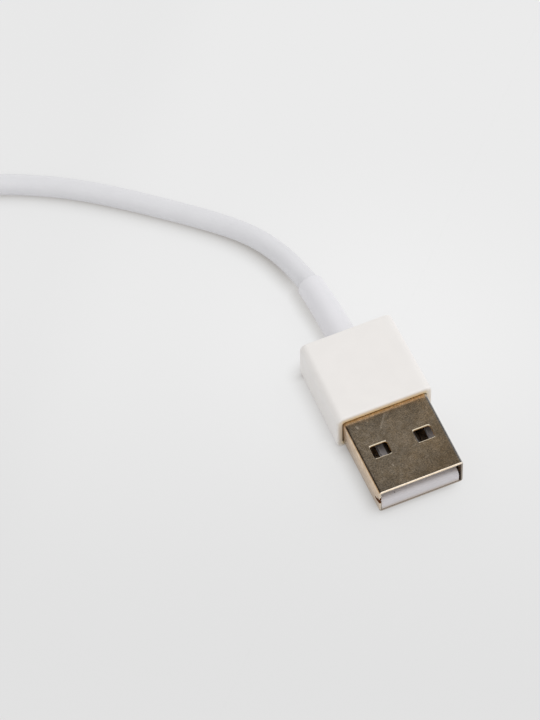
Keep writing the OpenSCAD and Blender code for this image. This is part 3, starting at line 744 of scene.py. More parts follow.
def rounded_outline(tree, width, height, corner, count):
    outline = put(tree, "GeometryNodeCurvePrimitiveQuadrilateral", {"Width": width, "Height": height})
    rounding = {"Curve": outline.outputs[0], "Count": count, "Radius": corner}
    return put(tree, "GeometryNodeFilletCurve", rounding, mode="POLY").outputs[0]


def closed_tree(tree, geometry, source, result):
    """Ends a tree: instances made real, and the finish put on them."""
    whole = put(tree, "GeometryNodeRealizeInstances", {"Geometry": geometry})
    done = put(tree, "GeometryNodeSetMaterial", {"Geometry": whole.outputs[0], "Material": source["Finish"]})
    tree.links.new(done.outputs[0], result["Geometry"])
    return tree


# Cord

def ease(t):
    t = min(max(t, 0.0), 1.0)
    return t * t * (3 - 2 * t)


def turn_place(p):
    """Radius and height of the coil's centreline after p turns, in millimetres.

    Each turn keeps its groove for a while. Then, one after the other, the turn that leaves the
    second layer climbs, the second layer steps outwards, the inmost turn climbs, and the first
    layer steps inwards. A layer lifts where the one under it moves."""
    turn = int(p)
    u = p - turn
    climb_out, step_out = ease((u - 0.32) / 0.12), ease((u - 0.43) / 0.20)
    climb_in, step_in = ease((u - 0.55) / 0.21), ease((u - 0.70) / 0.30)
    moving = step_out if u < 0.70 else step_in
    second = LOW_Z + math.sqrt(PITCH ** 2 - (PITCH / 2 - PITCH * moving) ** 2)
    third = second + math.sqrt(PITCH ** 2 - (PITCH / 2 - PITCH * step_out) ** 2)
    groove = INNER_TURN + PITCH / 2
    lift = second - LOW_Z - LAYER_RISE
    if turn < 4:
        return OUTER_TURN - PITCH * (turn + step_in), LOW_Z
    if turn == 4:
        swing = math.radians(180 - 60 * climb_in)
        return INNER_TURN + PITCH + PITCH * math.cos(swing), LOW_Z + PITCH * math.sin(swing) + lift * climb_in
    if turn < 8:
        return groove + PITCH * (turn - 5 + step_out), second
    if turn == 8:
        swing = math.radians(60 * climb_out)
        lift = third - LOW_Z - 2 * LAYER_RISE
        return (groove + 2 * PITCH + PITCH * math.cos(swing),
                LOW_Z + LAYER_RISE + PITCH * math.sin(swing) + lift * climb_out)
    return groove + 2.5 * PITCH, LOW_Z + 2 * LAYER_RISE


def tie_lift(p, thickness):
    """How far the turns are raised by the strap under them."""
    away = abs(p - int(p) - TIE_TURN)
    return thickness * ease((0.11 - away) / 0.055)


def coil_points(thickness, per_turn=24):
    points = []
    steps = round(COIL_TURNS * per_turn)
    for i in range(steps + 1):
        p = COIL_TURNS * i / steps
        radius, z = turn_place(p)
        angle = COIL_START + 2 * math.pi * p
        lifted = z + tie_lift(p, thickness / MM)
        out = Vector((radius * math.cos(angle), radius * math.sin(angle), lifted))
        points.append((COIL_MIDDLE + out) * MM)
    return points


def sleeve_path(y):
    """Middle of the first sleeve and its direction, at a distance in millimetres behind the tip."""
    s = bpy.context.scene.cable_cord
    long = SLEEVE_END - GRIP_REAR
    t = max(0.0, (y - GRIP_REAR) / long)
    middle = at_plug(0, y, 0) + Vector((s.sleeve_side, 0, s.sleeve_sag)) * t * t
    along = Vector((2 * s.sleeve_side * t, long * MM, 2 * s.sleeve_sag * t)).normalized()
    return middle, along


def slim_path(y):
    return SLIM + Vector((0, y, 0)) * MM, Vector((0, 1, 0))


def open_curve(name, points, radius, material):
    curve = bpy.data.curves.new(name, "CURVE")
    curve.dimensions = "3D"
    curve.resolution_u = 8
    curve.render_resolution_u = 8
    curve.bevel_depth = radius
    curve.bevel_resolution = 6
    curve.use_fill_caps = True
    spline = curve.splines.new("BEZIER")
    spline.bezier_points.add(len(points) - 1)
    for knot, point in zip(spline.bezier_points, points):
        knot.co = point
        knot.handle_left_type = knot.handle_right_type = "AUTO"
    curve.materials.append(material)
    return in_scene(name, curve)


class CABLE_OT_stage(Operator):
    """Floor, lamps, sky and camera"""
    bl_idname = "cable.stage"
    bl_label = "Stage"

    def execute(self, context):
        s = context.scene.cable_stage
        build_floor(s)
        build_lamps(s)
        build_sky(s)
        build_camera(s)
        context.scene.view_settings.view_transform = "Standard"
        return {"FINISHED"}


FLOOR_HALF = 4.0


def build_floor(s):
    """Plain pale floor with a painted pool of light: brightest round the plug and a little darker towards the
    front and the left.
    """
    material, tree, shader, place = start_material("pale floor")
    axes = put(tree, "ShaderNodeSeparateXYZ", {0: place}).outputs
    # Painted pool of light on the floor, round the plug
    depth = math_node(tree, "MULTIPLY_ADD", axes[0], 0.5, math_node(tree, "MULTIPLY", axes[1], 0.85))
    back = span_node(tree, depth, -0.045, 0.015, 0.905, 0.99, smooth=True)
    far_left = math_node(tree, "MULTIPLY_ADD", axes[0], -1.2, axes[1])
    back = product(tree, back, span_node(tree, far_left, 0.053, 0.075, 1.0, 0.975, smooth=True))
    away = vector_node(tree, "DISTANCE", place, (0.006, 0.008, 0), out=1)
    painted_light_level = math_node(tree, "ADD", back, span_node(tree, away, 0.0, 0.035, 0.045, 0.0, smooth=True))
    colour = tinted(tree, rgba(s.floor_tint), grey_of(tree, painted_light_level))
    shader.inputs["Roughness"].default_value = 0.9
    shader.inputs["Specular IOR Level"].default_value = 0.1
    # The camera sees part of the floor without shade, so that the shadows stay as faint as in daylight
    ray = tree.nodes.new("ShaderNodeLightPath").outputs
    bent = math_node(tree, "MAXIMUM", ray["Is Glossy Ray"], ray["Is Transmission Ray"])
    direct = math_node(tree, "MAXIMUM", ray["Is Camera Ray"], bent)
    seen = math_node(tree, "MULTIPLY", direct, s.shadow_lift)
    tree.links.new(blend_node(tree, seen, colour, (0, 0, 0, 1)), shader.inputs["Base Color"])
    # Shade close to the object, away from the light; the white grip throws light back into its own
    hidden = []
    for lit_from in ((0.4, -0.6, 0.69), (0.61, -0.1, 0.78)):
        tilt = put(tree, "ShaderNodeCombineXYZ", dict(enumerate(lit_from))).outputs[0]
        open_sky = put(tree, "ShaderNodeAmbientOcclusion", {"Distance": s.shade_reach, "Normal": tilt},
                       samples=16)
        hidden.append(math_node(tree, "SUBTRACT", 1.0, open_sky.outputs["AO"]))
    from_grip = math_node(tree, "ABSOLUTE", math_node(tree, "SUBTRACT", axes[1], 0.0005))
    grip_side = span_node(tree, from_grip, 0.0052, 0.007, 0.37, 1.0)
    cord_side = span_node(tree, axes[1], 0.022, 0.036, 1.0, 0.65)
    shade = product(tree, *hidden, grip_side, cord_side, s.shade_depth)
    left_over = [math_node(tree, "SUBTRACT", 1.0, math_node(tree, "MULTIPLY", shade, warmth), clamp=True)
                 for warmth in (0.96, 1.0, 1.04)]
    left_over = put(tree, "ShaderNodeCombineColor", dict(enumerate(left_over))).outputs[0]
    tree.links.new(tinted(tree, colour, left_over), shader.inputs["Emission Color"])
    tree.links.new(seen, shader.inputs["Emission Strength"])
    half = FLOOR_HALF
    corners = [(-half, -half, 0), (half, -half, 0), (half, half, 0), (-half, half, 0)]
    mesh = bpy.data.meshes.new("floor")
    mesh.from_pydata(corners, [], [(0, 1, 2, 3)])
    link("floor", mesh, material)


def build_lamps(s):
    """One large soft lamp to the right and behind the plug."""
    lamp = bpy.data.lights.new("key lamp", "AREA")
    lamp.shape = "DISK"
    lamp.size = 0.7
    lamp.energy = s.key_power
    key = in_scene("key lamp", lamp)
    key.location = (0.6, 0.05, 0.7)
    key.rotation_euler = (Vector((0, 0, 0)) - key.location).to_track_quat("-Z", "Y").to_euler()
    key.visible_glossy = False


BACKDROP = (0.86, 0.86, 0.86, 1)


def build_sky(s):
    """Even pale light, a studio for what shines to reflect, and a pale backdrop for the camera."""
    world = bpy.data.worlds.new("sky")
    world.use_nodes = True
    tree = world.node_tree
    tree.nodes.clear()
    direction = tree.nodes.new("ShaderNodeTexCoord").outputs["Generated"]
    ray = tree.nodes.new("ShaderNodeLightPath").outputs

    def facing(*way):
        return vector_node(tree, "DOT_PRODUCT", direction, Vector(way).normalized(), out=1)

    # What shines sees a dim room, greyer high behind and to the right, and bright in front and low behind
    above = span_node(tree, facing(0.22, 0.5, 0.84), 0.75, 0.97, smooth=True)
    dim = blend_node(tree, above, (0.045, 0.045, 0.047, 1), (0.153, 0.155, 0.160, 1))
    right = span_node(tree, facing(1, 0, 0), 0.3, 0.8, smooth=True)
    dim = blend_node(tree, right, dim, (0.10, 0.11, 0.13, 1))
    ahead = span_node(tree, facing(0.25, -0.9, 0.35), -0.05, 0.35, smooth=True)
    studio = blend_node(tree, ahead, dim, (1.4, 1.4, 1.4, 1))
    low = span_node(tree, facing(0.22, 0.95, 0.2), 0.94, 0.98, smooth=True)
    studio = blend_node(tree, low, studio, (1.2, 1.2, 1.2, 1))
    # Everything else is lit evenly, a little more from the right and above
    even = math_node(tree, "MULTIPLY_ADD", facing(0.65, 0.0, 0.75), 0.28 * s.sky, 0.811 * s.sky)
    plain = blend_node(tree, ray["Is Glossy Ray"], grey_of(tree, even), studio)
    seen = blend_node(tree, ray["Is Camera Ray"], plain, BACKDROP)
    background = put(tree, "ShaderNodeBackground", {"Color": seen, "Strength": 1.0})
    output = tree.nodes.new("ShaderNodeOutputWorld")
    tree.links.new(background.outputs[0], output.inputs[0])
    bpy.context.scene.world = world


# The photograph's view: direction to the camera, where the origin falls, and the lens in pixels
VIEW_AZIMUTH = math.radians(-23.9)
VIEW_ELEVATION = math.radians(57.2)
FRAME_SIZE = (540, 720)
ORIGIN_PIXEL = (366.4, 396.4)
LENS_PIXELS = 4875.0
SENSOR = 36.0


def build_camera(s):
    a, e = VIEW_AZIMUTH, VIEW_ELEVATION
    back = Vector((math.sin(a) * math.cos(e), -math.cos(a) * math.cos(e), math.sin(e)))
    right = Vector((math.cos(a), math.sin(a), 0))
    up = back.cross(right)
    # The view's middle is a little beside the origin, so the camera turns by that much
    x = (FRAME_SIZE[0] / 2 - ORIGIN_PIXEL[0]) / LENS_PIXELS
    y = (ORIGIN_PIXEL[1] - FRAME_SIZE[1] / 2) / LENS_PIXELS
    backwards = (back - right * x - up * y).normalized()
    across = up.cross(backwards).normalized()
    upright = backwards.cross(across)
    turn = Matrix((across, upright, backwards)).transposed()
    lens = bpy.data.cameras.new("camera")
    lens.sensor_width = SENSOR
    lens.lens = LENS_PIXELS / max(FRAME_SIZE) * SENSOR
    lens.clip_start, lens.clip_end = 0.05, 20.0
    camera = in_scene("camera", lens)
    camera.matrix_world = Matrix.Translation(back * s.camera_distance) @ turn.to_4x4()
    bpy.context.scene.camera = camera


class CABLE_OT_cord(Operator):
    """The cord in one run: out of the sleeve, into its coil and on to the slim plug"""
    bl_idname = "cable.cord"
    bl_label = "Cord"

    def execute(self, context):
        s, mould = context.scene.cable_cord, context.scene.cable_mould
        stations = (CORD_START, FLANGE_FRONT, GRIP_REAR, 27.8, 30.8, 33.6, SLEEVE_END)
        inside = [sleeve_path(y)[0] for y in stations]
        points = inside + [Vector(p) for p in CORD_ROUTE] + coil_points(s.tie_thickness)
        points += [Vector(p) for p in TAIL_ROUTE]
        jacket = moulded("cord jacket", mould.cord, 0.42, grain=3000.0)
        cord = open_curve("cord_run", points, s.diameter / 2, jacket)
        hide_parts("cord", "cord_coil", "cord_tail")
        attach(cord, "root")
        return {"FINISHED"}


def sheet_side(at, normal):
    """Material of a face of the shell: 0 plated, 1 sheared, 2 the slit's walls, 3 the windows' walls."""
    in_slit = 0.02 < at.y < 1.0 and at.x < -5.6 and abs(at.z) < 0.6
    if in_slit and abs(normal.x) < 0.5:
        return 2
    in_sheet = abs(abs(at.z) - 2.1) < 0.1 and abs(at.x) < 5.3 and at.y > 1.0
    if in_sheet and abs(normal.z) < 0.2:
        return 3
    return 1 if normal.y < -0.9 and at.y < 0.05 else 0


class CABLE_OT_shell(Operator):
    """Folded and plated shell with its windows"""
    bl_idname = "cable.shell"
    bl_label = "Plug shell"

    def execute(self, context):
        s = context.scene.cable_metal
        plating = plating_material(s)
        sheared = metal("sheared sheet", s.sheared, darker(s.sheared, 0.85), 0.45, grain=9000.0)
        # Dark brown walls in the slit: painted shade
        shaded = moulded("stained slit", s.slit, 0.8, specular=0.0)
        walls = moulded("window walls", s.window_wall, 0.35)
        cut = metal("broken sheet edge", s.cut_edge, darker(s.cut_edge, 0.9), 0.2, grain=9000.0)
        # The sheared and cut faces take the same bare sheet with painted shade, and the slit's painted shade
        for material in (sheared, cut):
            tree, base, plain, place = principled(material)
            wear_and_shade = bare_and_shaded_edges(tree, local_axes(tree, place))
            lip_shaded = blend_node(tree, wear_and_shade, plain, rgba(s.sheared, 0.95))
            tree.links.new(slit_shade(tree, base.node, place, lip_shaded, s.slit), base)
        # Bright non-metal colour on the rolled rims across the windows: painted highlight
        rim = moulded("highlighted rim", s.rim, 0.35)
        shell = finer_copy("plug_shell", "plug_shell_sheet", s.broken_edge,
                           plating, sheared, shaded, walls, rim, cut)
        rolled_rims(shell, s.rolled_rim, 4)
        for face in shell.data.polygons:
            face.material_index = sheet_side((face.center - PLUG) / MM, face.normal)
        return {"FINISHED"}


def shaded_and_specked_tongue(material):
    """Painted shade in the channels, on the foot, deep inside and behind the slit, and one dark speck on the
    tongue's nose.
    """
    tree, base, plain, place = principled(material)
    axes = local_axes(tree, place)
    # Painted shade on the foot of the nose
    foot_shade = product(tree, fade_node(tree, axes[2], -1.95, -1.1, smooth=True),
                   fade_node(tree, axes[1], 0.3, 0.6))
    colour = blend_node(tree, foot_shade, plain, TONGUE_FOOT_SHADE)
    # Painted shade in the contact channels
    shade = 0.0
    for lane in (-3.5, -1.0, 1.0, 3.5):
        off = math_node(tree, "ABSOLUTE", math_node(tree, "SUBTRACT", axes[0], lane - 0.2))
        shade = math_node(tree, "MAXIMUM", fade_node(tree, off, 0.68, 0.8, smooth=True), shade)
    shade = product(tree, shade, span_node(tree, axes[1], 3.2, 3.6))
    # Painted shade deep inside, darker towards the rear under the top
    deep_shade = product(tree, span_node(tree, axes[1], 6.6, 8.6, smooth=True), 0.6)
    colour = blend_node(tree, deep_shade, colour, DEEP_INSIDE_SHADE)
    colour = blend_node(tree, shade, colour, CHANNEL_SHADE)
    # Painted shade on the tongue behind the slit of the shell
    high = math_node(tree, "ABSOLUTE", math_node(tree, "SUBTRACT", axes[2], 0.3))
    slit_dark = product(tree, fade_node(tree, axes[0], -5.62, -5.55), fade_node(tree, high, 0.3, 0.4),
                    fade_node(tree, axes[1], 1.1, 1.4))
    colour = blend_node(tree, slit_dark, colour, TONGUE_SLIT_SHADE)
    where = at_plug(-3.53, 0.78, -0.1)
    mark = effect(tree, "mark", Vector=place, Start=where, End=where, Width=0.00016)
    tree.links.new(blend_node(tree, mark["Mask"], colour, DARK_SPECK), base)


class CABLE_OT_tongue(Operator):
    """White tongue and its four contacts"""
    bl_idname = "cable.tongue"
    bl_label = "Tongue and contacts"

    def execute(self, context):
        white = context.scene.cable_mould.tongue
        body = moulded("tongue plastic", white, 0.3, grain=6000.0)
        shaded_and_specked_tongue(body)
        tongue = finer_copy("tongue", "tongue_body", 0.00004, body)
        gold = context.scene.cable_metal.contact
        strip = metal("contact plating", gold, darker(gold, 0.9), 0.22)
        for node in ("contact_power", "contact_data_minus", "contact_data_plus", "contact_ground"):
            finish_node(node, strip)
        return {"FINISHED"}


def painted_front_glow(material):
    """Painted light on the grip's front face: the warm glow of the plating that it touches."""
    tree, base, plain, place = principled(material)
    axes = local_axes(tree, place)
    beside = []
    for axis, half in zip((axes[0], axes[2]), SHELL_HALF):
        past = math_node(tree, "SUBTRACT", math_node(tree, "ABSOLUTE", axis), half)
        beside.append(math_node(tree, "MAXIMUM", past, 0.0))
    square = math_node(tree, "MULTIPLY_ADD", beside[0], beside[0], product(tree, beside[1], beside[1]))
    gap = math_node(tree, "SQRT", square)
    near = fade_node(tree, gap, 0.1, 1.0, smooth=True)
    front = fade_node(tree, axes[1], GRIP_FRONT + 0.2, GRIP_FRONT + 0.5)
    above = span_node(tree, math_node(tree, "ABSOLUTE", axes[0]), 5.9, 6.2, 1.0, 0.45)
    tree.links.new(blend_node(tree, product(tree, near, front, above), plain, PLATING_GLOW), base)


class CABLE_OT_grip(Operator):
    """Moulded grip of the first plug"""
    bl_idname = "cable.grip"
    bl_label = "Grip"

    def execute(self, context):
        s, cord = context.scene.cable_mould, context.scene.cable_cord
        bore = cord.sleeve_start / MM / 2 + BORE_GAP
        wire_room = round_quarter(2.6)
        shell_seat = box_quarter(12.04, 4.54, SHELL_BEND)
        front_gap = box_quarter(12.14, 4.64, SHELL_BEND + 0.05)
        inside = [
            (round_quarter(bore + 0.06), GRIP_REAR), (round_quarter(bore), GRIP_REAR - 0.06),
            (round_quarter(bore), FLANGE_REAR + CLEAR), (wire_room, FLANGE_REAR + CLEAR),
            (wire_room, CAN_REAR + 0.3), (shell_seat, CAN_REAR + CLEAR), (shell_seat, GRIP_FRONT + 0.4),
            (front_gap, GRIP_FRONT + 0.4), (front_gap, GRIP_FRONT + 0.08),
            (box_quarter(12.18, 4.68, SHELL_BEND + 0.07), GRIP_FRONT + 0.02),
            (box_quarter(12.26, 4.76, SHELL_BEND + 0.11), GRIP_FRONT),
        ]
        white = moulded("grip plastic", s.grip, 0.36)
        painted_front_glow(white)
        grip = moulded_grip("grip_skin", PLUG, s.grip_front / MM, s.grip_rear / MM, s.grip_height / MM,
                            GRIP_FRONT, GRIP_REAR, s.grip_edge / MM, s.grip_rim / MM, inside, white)
        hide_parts("grip_mould")
        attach(grip, "root")
        return {"FINISHED"}


class CABLE_OT_sleeve(Operator):
    """Soft sleeve of the first plug, with its flange in the grip"""
    bl_idname = "cable.sleeve"
    bl_label = "Sleeve"

    def execute(self, context):
        s = context.scene.cable_cord
        start, end = s.sleeve_start / MM / 2, s.sleeve_end / MM / 2
        bore = s.diameter / MM / 2 + BORE_GAP
        stations = sleeve_stations((FLANGE_FRONT, FLANGE_REAR), GRIP_REAR, SLEEVE_END,
                                   flange_radius=2.55, first=start, last=end, steps=16)
        soft = moulded("sleeve plastic", context.scene.cable_mould.sleeve, 0.4, grain=3500.0)
        sleeve = sleeve_skin("sleeve_skin", sleeve_path, stations, bore, soft)
        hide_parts("strain_relief")
        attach(sleeve, "root")
        return {"FINISHED"}


def strap_path(s):
    """Middle line of the strap round the turns, with its end laid over its start."""
    half = s.tie_thickness / MM / 2
    turns = [(r, LOW_Z) for r in (9.5, 12.5, 15.5, 18.5, 21.5)]
    turns += [(r, LOW_Z + LAYER_RISE) for r in (11.0, 14.0, 17.0, 20.0)] + [(18.5, LOW_Z + 2 * LAYER_RISE)]
    angle = COIL_START + 2 * math.pi * TIE_TURN
    outwards = Vector((math.cos(angle), math.sin(angle), 0))
    points = []
    first, last, step, lifts = 20, -400, -5, -310
    for degrees in range(first, last, step):
        a = math.radians(degrees)
        over = ease((lifts - degrees) / 30) * 2 * half
        radius = PITCH / 2 + half + over
        r, z = max(turns, key=lambda t: t[0] * math.cos(a) + t[1] * math.sin(a))
        r, z = r + radius * math.cos(a), z + radius * math.sin(a) + 2 * half
        points.append((COIL_MIDDLE + outwards * r + Vector((0, 0, z))) * MM)
    return points


def strap_tree():
    """Draws a flat strap along a path, with a coordinate that follows it."""
    tree, source, result = new_geometry("Strap along a path", [
        ("Width", "NodeSocketFloat"), ("Thickness", "NodeSocketFloat"), ("Spacing", "NodeSocketFloat"),
        ("Finish", "NodeSocketMaterial")])
    even = put(tree, "GeometryNodeResampleCurve", {"Curve": source["Geometry"], "Length": source["Spacing"]},
               mode="LENGTH")
    reach = tree.nodes.new("GeometryNodeSplineParameter").outputs["Length"]
    kept = put(tree, "GeometryNodeCaptureAttribute", {"Geometry": even.outputs[0]})
    kept.capture_items.new("FLOAT", "Reach")
    tree.links.new(reach, kept.inputs["Reach"])
    corner = math_node(tree, "MULTIPLY", source["Thickness"], 0.35)
    rounded = rounded_outline(tree, source["Width"], source["Thickness"], corner, 3)
    strap = put(tree, "GeometryNodeCurveToMesh",
                {"Curve": kept.outputs[0], "Profile Curve": rounded, "Fill Caps": True})
    stored = put(tree, "GeometryNodeStoreNamedAttribute",
                 {"Geometry": strap.outputs[0], "Name": "strap_reach", "Value": kept.outputs["Reach"]},
                 data_type="FLOAT", domain="POINT")
    return closed_tree(tree, stored.outputs[0], source, result)


# From rib to rib of the woven strap, and between the points of its path
RIB_PITCH = 0.00045
PATH_STEP = 0.0004


def woven_material(colour):
    """Woven strap: fine ribs across it that follow its length, with painted shade between them."""
    material, tree, shader, place = start_material("woven strap")
    reach = put(tree, "ShaderNodeAttribute", attribute_name="strap_reach").outputs["Fac"]
    wave = math_node(tree, "SINE", math_node(tree, "MULTIPLY", reach, 2 * math.pi / RIB_PITCH))
    ribs = math_node(tree, "MULTIPLY_ADD", wave, 0.5, 0.5)
    bump = put(tree, "ShaderNodeBump", {"Height": ribs, "Distance": 0.00004})
    tone = effect(tree, "tone", Vector=place, Tint=rgba(colour), Second_Tint=rgba(colour, 0.9), Scale=1500.0)
    # Painted shade in the grooves between the ribs
    shade = math_node(tree, "MULTIPLY_ADD", ribs, 0.25, 0.75)
    ribbed = blend_node(tree, shade, rgba(colour, 0.6), tone["Color"])
    tree.links.new(ribbed, shader.inputs["Base Color"])
    tree.links.new(bump.outputs[0], shader.inputs["Normal"])
    shader.inputs["Roughness"].default_value = 0.85
    return material


class CABLE_OT_tie(Operator):
    """Woven strap round the coil"""
    bl_idname = "cable.tie"
    bl_label = "Coil tie"

    def execute(self, context):
        s = context.scene.cable_cord
        curve = bpy.data.curves.new("strap path", "CURVE")
        curve.dimensions = "3D"
        points = strap_path(s)
        spline = curve.splines.new("POLY")
        spline.points.add(len(points) - 1)
        for knot, point in zip(spline.points, points):
            knot.co = (*point, 1.0)
        path = in_scene("strap path", curve)
        with_nodes(path, strap_tree(), Width=s.tie_width, Thickness=s.tie_thickness, Spacing=PATH_STEP,
                   Finish=woven_material(s.tie))
        strap = baked(path, "coil_tie_strap")
        smooth(strap.data)
        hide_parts("coil_tie")
        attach(strap, "root")
        return {"FINISHED"}


def pad_tree():
    """Row of round-ended pads across the tab."""
    tree, source, result = new_geometry("Row of pads", [
        ("Count", "NodeSocketInt"), ("Pitch", "NodeSocketFloat"), ("Pad Width", "NodeSocketFloat"),
        ("Pad Length", "NodeSocketFloat"), ("Thickness", "NodeSocketFloat"),
        ("Finish", "NodeSocketMaterial")])
    corner = math_node(tree, "MULTIPLY", source["Pad Width"], 0.3)
    rounded = rounded_outline(tree, source["Pad Width"], source["Pad Length"], corner, 4)
    face = put(tree, "GeometryNodeFillCurve", {"Curve": rounded}, mode="NGONS")
    offset = put(tree, "ShaderNodeCombineXYZ", {"Z": source["Thickness"]})
    raised = {"Mesh": face.outputs[0], "Offset": offset.outputs[0], "Offset Scale": 1.0, "Individual": False}
    pad = put(tree, "GeometryNodeExtrudeMesh", raised)
    under = put(tree, "GeometryNodeFlipFaces", {"Mesh": face.outputs[0]})
    solid = put(tree, "GeometryNodeJoinGeometry")
    tree.links.new(under.outputs[0], solid.inputs[0])
    tree.links.new(pad.outputs[0], solid.inputs[0])
    merged = put(tree, "GeometryNodeMergeByDistance", {"Geometry": solid.outputs[0], "Distance": 1e-6})
    step = put(tree, "ShaderNodeCombineXYZ", {"X": source["Pitch"]})
    last = math_node(tree, "SUBTRACT", source["Count"], 1.0)
    half_row = math_node(tree, "MULTIPLY", math_node(tree, "MULTIPLY", last, source["Pitch"]), -0.5)
    start = put(tree, "ShaderNodeCombineXYZ", {"X": half_row})
    row = put(tree, "GeometryNodeMeshLine",
              {"Count": source["Count"], "Start Location": start.outputs[0], "Offset": step.outputs[0]},
              mode="OFFSET")
    placed = put(tree, "GeometryNodeInstanceOnPoints",
                 {"Points": row.outputs[0], "Instance": merged.outputs[0]})
    return closed_tree(tree, placed.outputs[0], source, result)


class CABLE_OT_slim_tab(Operator):
    """Metal tab of the slim plug, its insert and its rows of pads"""
    bl_idname = "cable.slim_tab"
    bl_label = "Slim tab"

    def execute(self, context):
        s, metals = context.scene.cable_slim, context.scene.cable_metal
        steel = metal("blasted steel", s.steel, darker(s.steel, 0.93), 0.34, grain=7000.0, depth=0.000003)
        tab = finer_copy("slim_frame", "slim_tab", 0.00006, steel)
        finish_node("slim_insert", moulded("insert plastic", context.scene.cable_mould.tongue, 0.35))
        gold = metal("pad plating", metals.contact, darker(metals.contact, 0.9), 0.2)
        tree = pad_tree()
        for side, node in ((1, "slim_contacts_top"), (-1, "slim_contacts_bottom")):
            low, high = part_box(node)
            row = in_scene("pad row", bpy.data.meshes.new("pad row"))
            with_nodes(row, tree, **{"Count": s.pads, "Pitch": s.pad_pitch, "Pad Width": s.pad_width,
                                     "Pad Length": high.y - low.y, "Thickness": high.z - low.z + 0.00002,
                                     "Finish": gold})
            pads = baked(row, "slim_pads_top" if side > 0 else "slim_pads_bottom")
            middle = (low + high) / 2
            turn = Matrix.Identity(4) if side > 0 else Matrix.Rotation(math.pi, 4, "Y")
            base = low.z if side > 0 else high.z
            pads.data.transform(Matrix.Translation((middle.x, middle.y, base)) @ turn)
            broken_edges(pads, 0.00003)
            smooth(pads.data)
            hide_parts(node)
            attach(pads, "root")
        return {"FINISHED"}


class CABLE_OT_slim_grip(Operator):
    """Grip and sleeve of the slim plug"""
    bl_idname = "cable.slim_grip"
    bl_label = "Slim grip"

    def execute(self, context):
        s, mould, cord = context.scene.cable_slim, context.scene.cable_mould, context.scene.cable_cord
        bore, wire_room = round_quarter(1.92), round_quarter(2.3)
        can_room, tab_seat = box_quarter(6.84, 4.04, 0.5), box_quarter(6.74, 1.54, 0.74)
        inside = [
            (round_quarter(1.98), SLIM_REAR), (bore, SLIM_REAR - 0.06), (bore, SLIM_FLANGE_REAR + CLEAR),
            (wire_room, SLIM_FLANGE_REAR + CLEAR), (wire_room, SLIM_CAN_REAR + 0.3),
            (can_room, SLIM_CAN_REAR + CLEAR), (can_room, FRAME_REAR), (tab_seat, FRAME_REAR - CLEAR),
            (tab_seat, SLIM_FRONT + 0.06), (box_quarter(6.82, 1.62, 0.78), SLIM_FRONT + 0.01),
            (box_quarter(6.90, 1.70, 0.80), SLIM_FRONT),
        ]
        white = bpy.data.materials["grip plastic"]
        front = s.grip_width / MM
        grip = moulded_grip("slim_grip_skin", SLIM, front, front - 0.2, s.grip_height / MM,
                            SLIM_FRONT, SLIM_REAR, mould.grip_edge / MM, mould.grip_rim / MM, inside, white)
        stations = sleeve_stations((SLIM_FLANGE_FRONT, SLIM_FLANGE_REAR), SLIM_REAR, SLIM_SLEEVE_END,
                                   flange_radius=2.25, first=1.9, last=1.7, steps=10)
        sleeve = sleeve_skin("slim_sleeve_skin", slim_path, stations, cord.diameter / MM / 2 + BORE_GAP,
                             bpy.data.materials["sleeve plastic"])
        for piece, node, slot in ((grip, "slim_grip", "grip_white"),
                                  (sleeve, "slim_strain_relief", "sleeve_white")):
            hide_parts(node)
            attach(piece, "root")
        return {"FINISHED"}


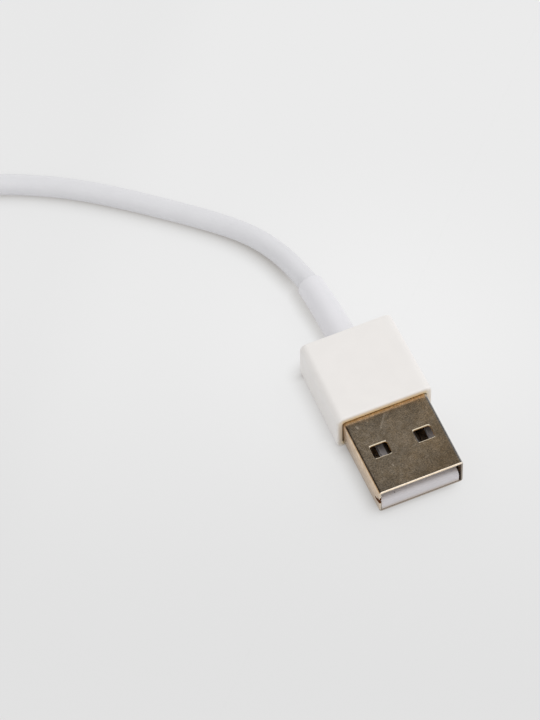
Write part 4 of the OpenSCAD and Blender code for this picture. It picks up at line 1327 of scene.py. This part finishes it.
class CABLE_OT_inner_parts(Operator):
    """Finishes of the parts inside both grips"""
    bl_idname = "cable.inner_parts"
    bl_label = "Inner parts"

    def execute(self, context):
        tin = metal("tinned sheet", (0.70, 0.71, 0.72), (0.62, 0.62, 0.63), 0.3)
        solder = metal("bright solder", (0.74, 0.75, 0.77), (0.66, 0.66, 0.68), 0.25, grain=2500.0)
        finishes = {
            moulded("inner resin", (0.80, 0.77, 0.68), 0.5): ["inner_mould", "slim_inner_mould"],
            tin: ["shield_upper", "shield_lower", "crimp_band",
                  "slim_shield_upper", "slim_shield_lower", "slim_crimp_band"],
            solder: ["solder_joints", "slim_solder_joints"],
            moulded("red insulation", (0.62, 0.03, 0.03), 0.45): ["wire_red", "slim_wire_red"],
            moulded("white insulation", (0.80, 0.80, 0.78), 0.45): ["wire_white", "slim_wire_white"],
            moulded("green insulation", (0.04, 0.33, 0.09), 0.45): ["wire_green", "slim_wire_green"],
            moulded("black insulation", (0.025, 0.025, 0.025), 0.45): ["wire_black", "slim_wire_black"],
            moulded("board lacquer", (0.03, 0.20, 0.08), 0.3): ["slim_board"],
            moulded("chip package", (0.03, 0.03, 0.032), 0.5): ["slim_chip"],
            moulded("capacitor ceramic", (0.42, 0.30, 0.19), 0.5): ["slim_capacitors"],
        }
        for material, nodes in finishes.items():
            for node in nodes:
                finish_node(node, material)
        return {"FINISHED"}


class CABLE_OT_declare(Operator):
    """Last of the steps; it does nothing"""
    bl_idname = "cable.declare"
    bl_label = "Declare the cord"

    def execute(self, context):
        return {"FINISHED"}


STEPS = ("stage", "cord", "shell", "tongue", "grip", "sleeve", "tie", "slim_tab", "slim_grip", "inner_parts",
         "declare")


class CABLE_PT_panel(Panel):
    """Lists the cable's sizes, colours and pieces"""
    bl_idname = "CABLE_PT_panel"
    bl_label = "Cable"
    bl_space_type = "VIEW_3D"
    bl_region_type = "UI"
    bl_category = "Cable"

    def draw(self, context):
        for name, group in GROUPS.items():
            box = self.layout.box()
            for prop in group.__annotations__:
                box.prop(getattr(context.scene, name), prop)
        for step in STEPS:
            self.layout.operator("cable." + step)


CLASSES = (*GROUPS.values(), CABLE_OT_stage, CABLE_OT_cord, CABLE_OT_shell, CABLE_OT_tongue, CABLE_OT_grip,
           CABLE_OT_sleeve, CABLE_OT_tie, CABLE_OT_slim_tab, CABLE_OT_slim_grip, CABLE_OT_inner_parts,
           CABLE_OT_declare, CABLE_PT_panel)


def register():
    for item in CLASSES:
        bpy.utils.register_class(item)
    for name, group in GROUPS.items():
        setattr(bpy.types.Scene, name, PointerProperty(type=group))


def unregister():
    for name in GROUPS:
        delattr(bpy.types.Scene, name)
    for item in reversed(CLASSES):
        bpy.utils.unregister_class(item)


def main():
    register()
    for step in STEPS:
        getattr(bpy.ops.cable, step)()


if __name__ == "__main__":
    main()
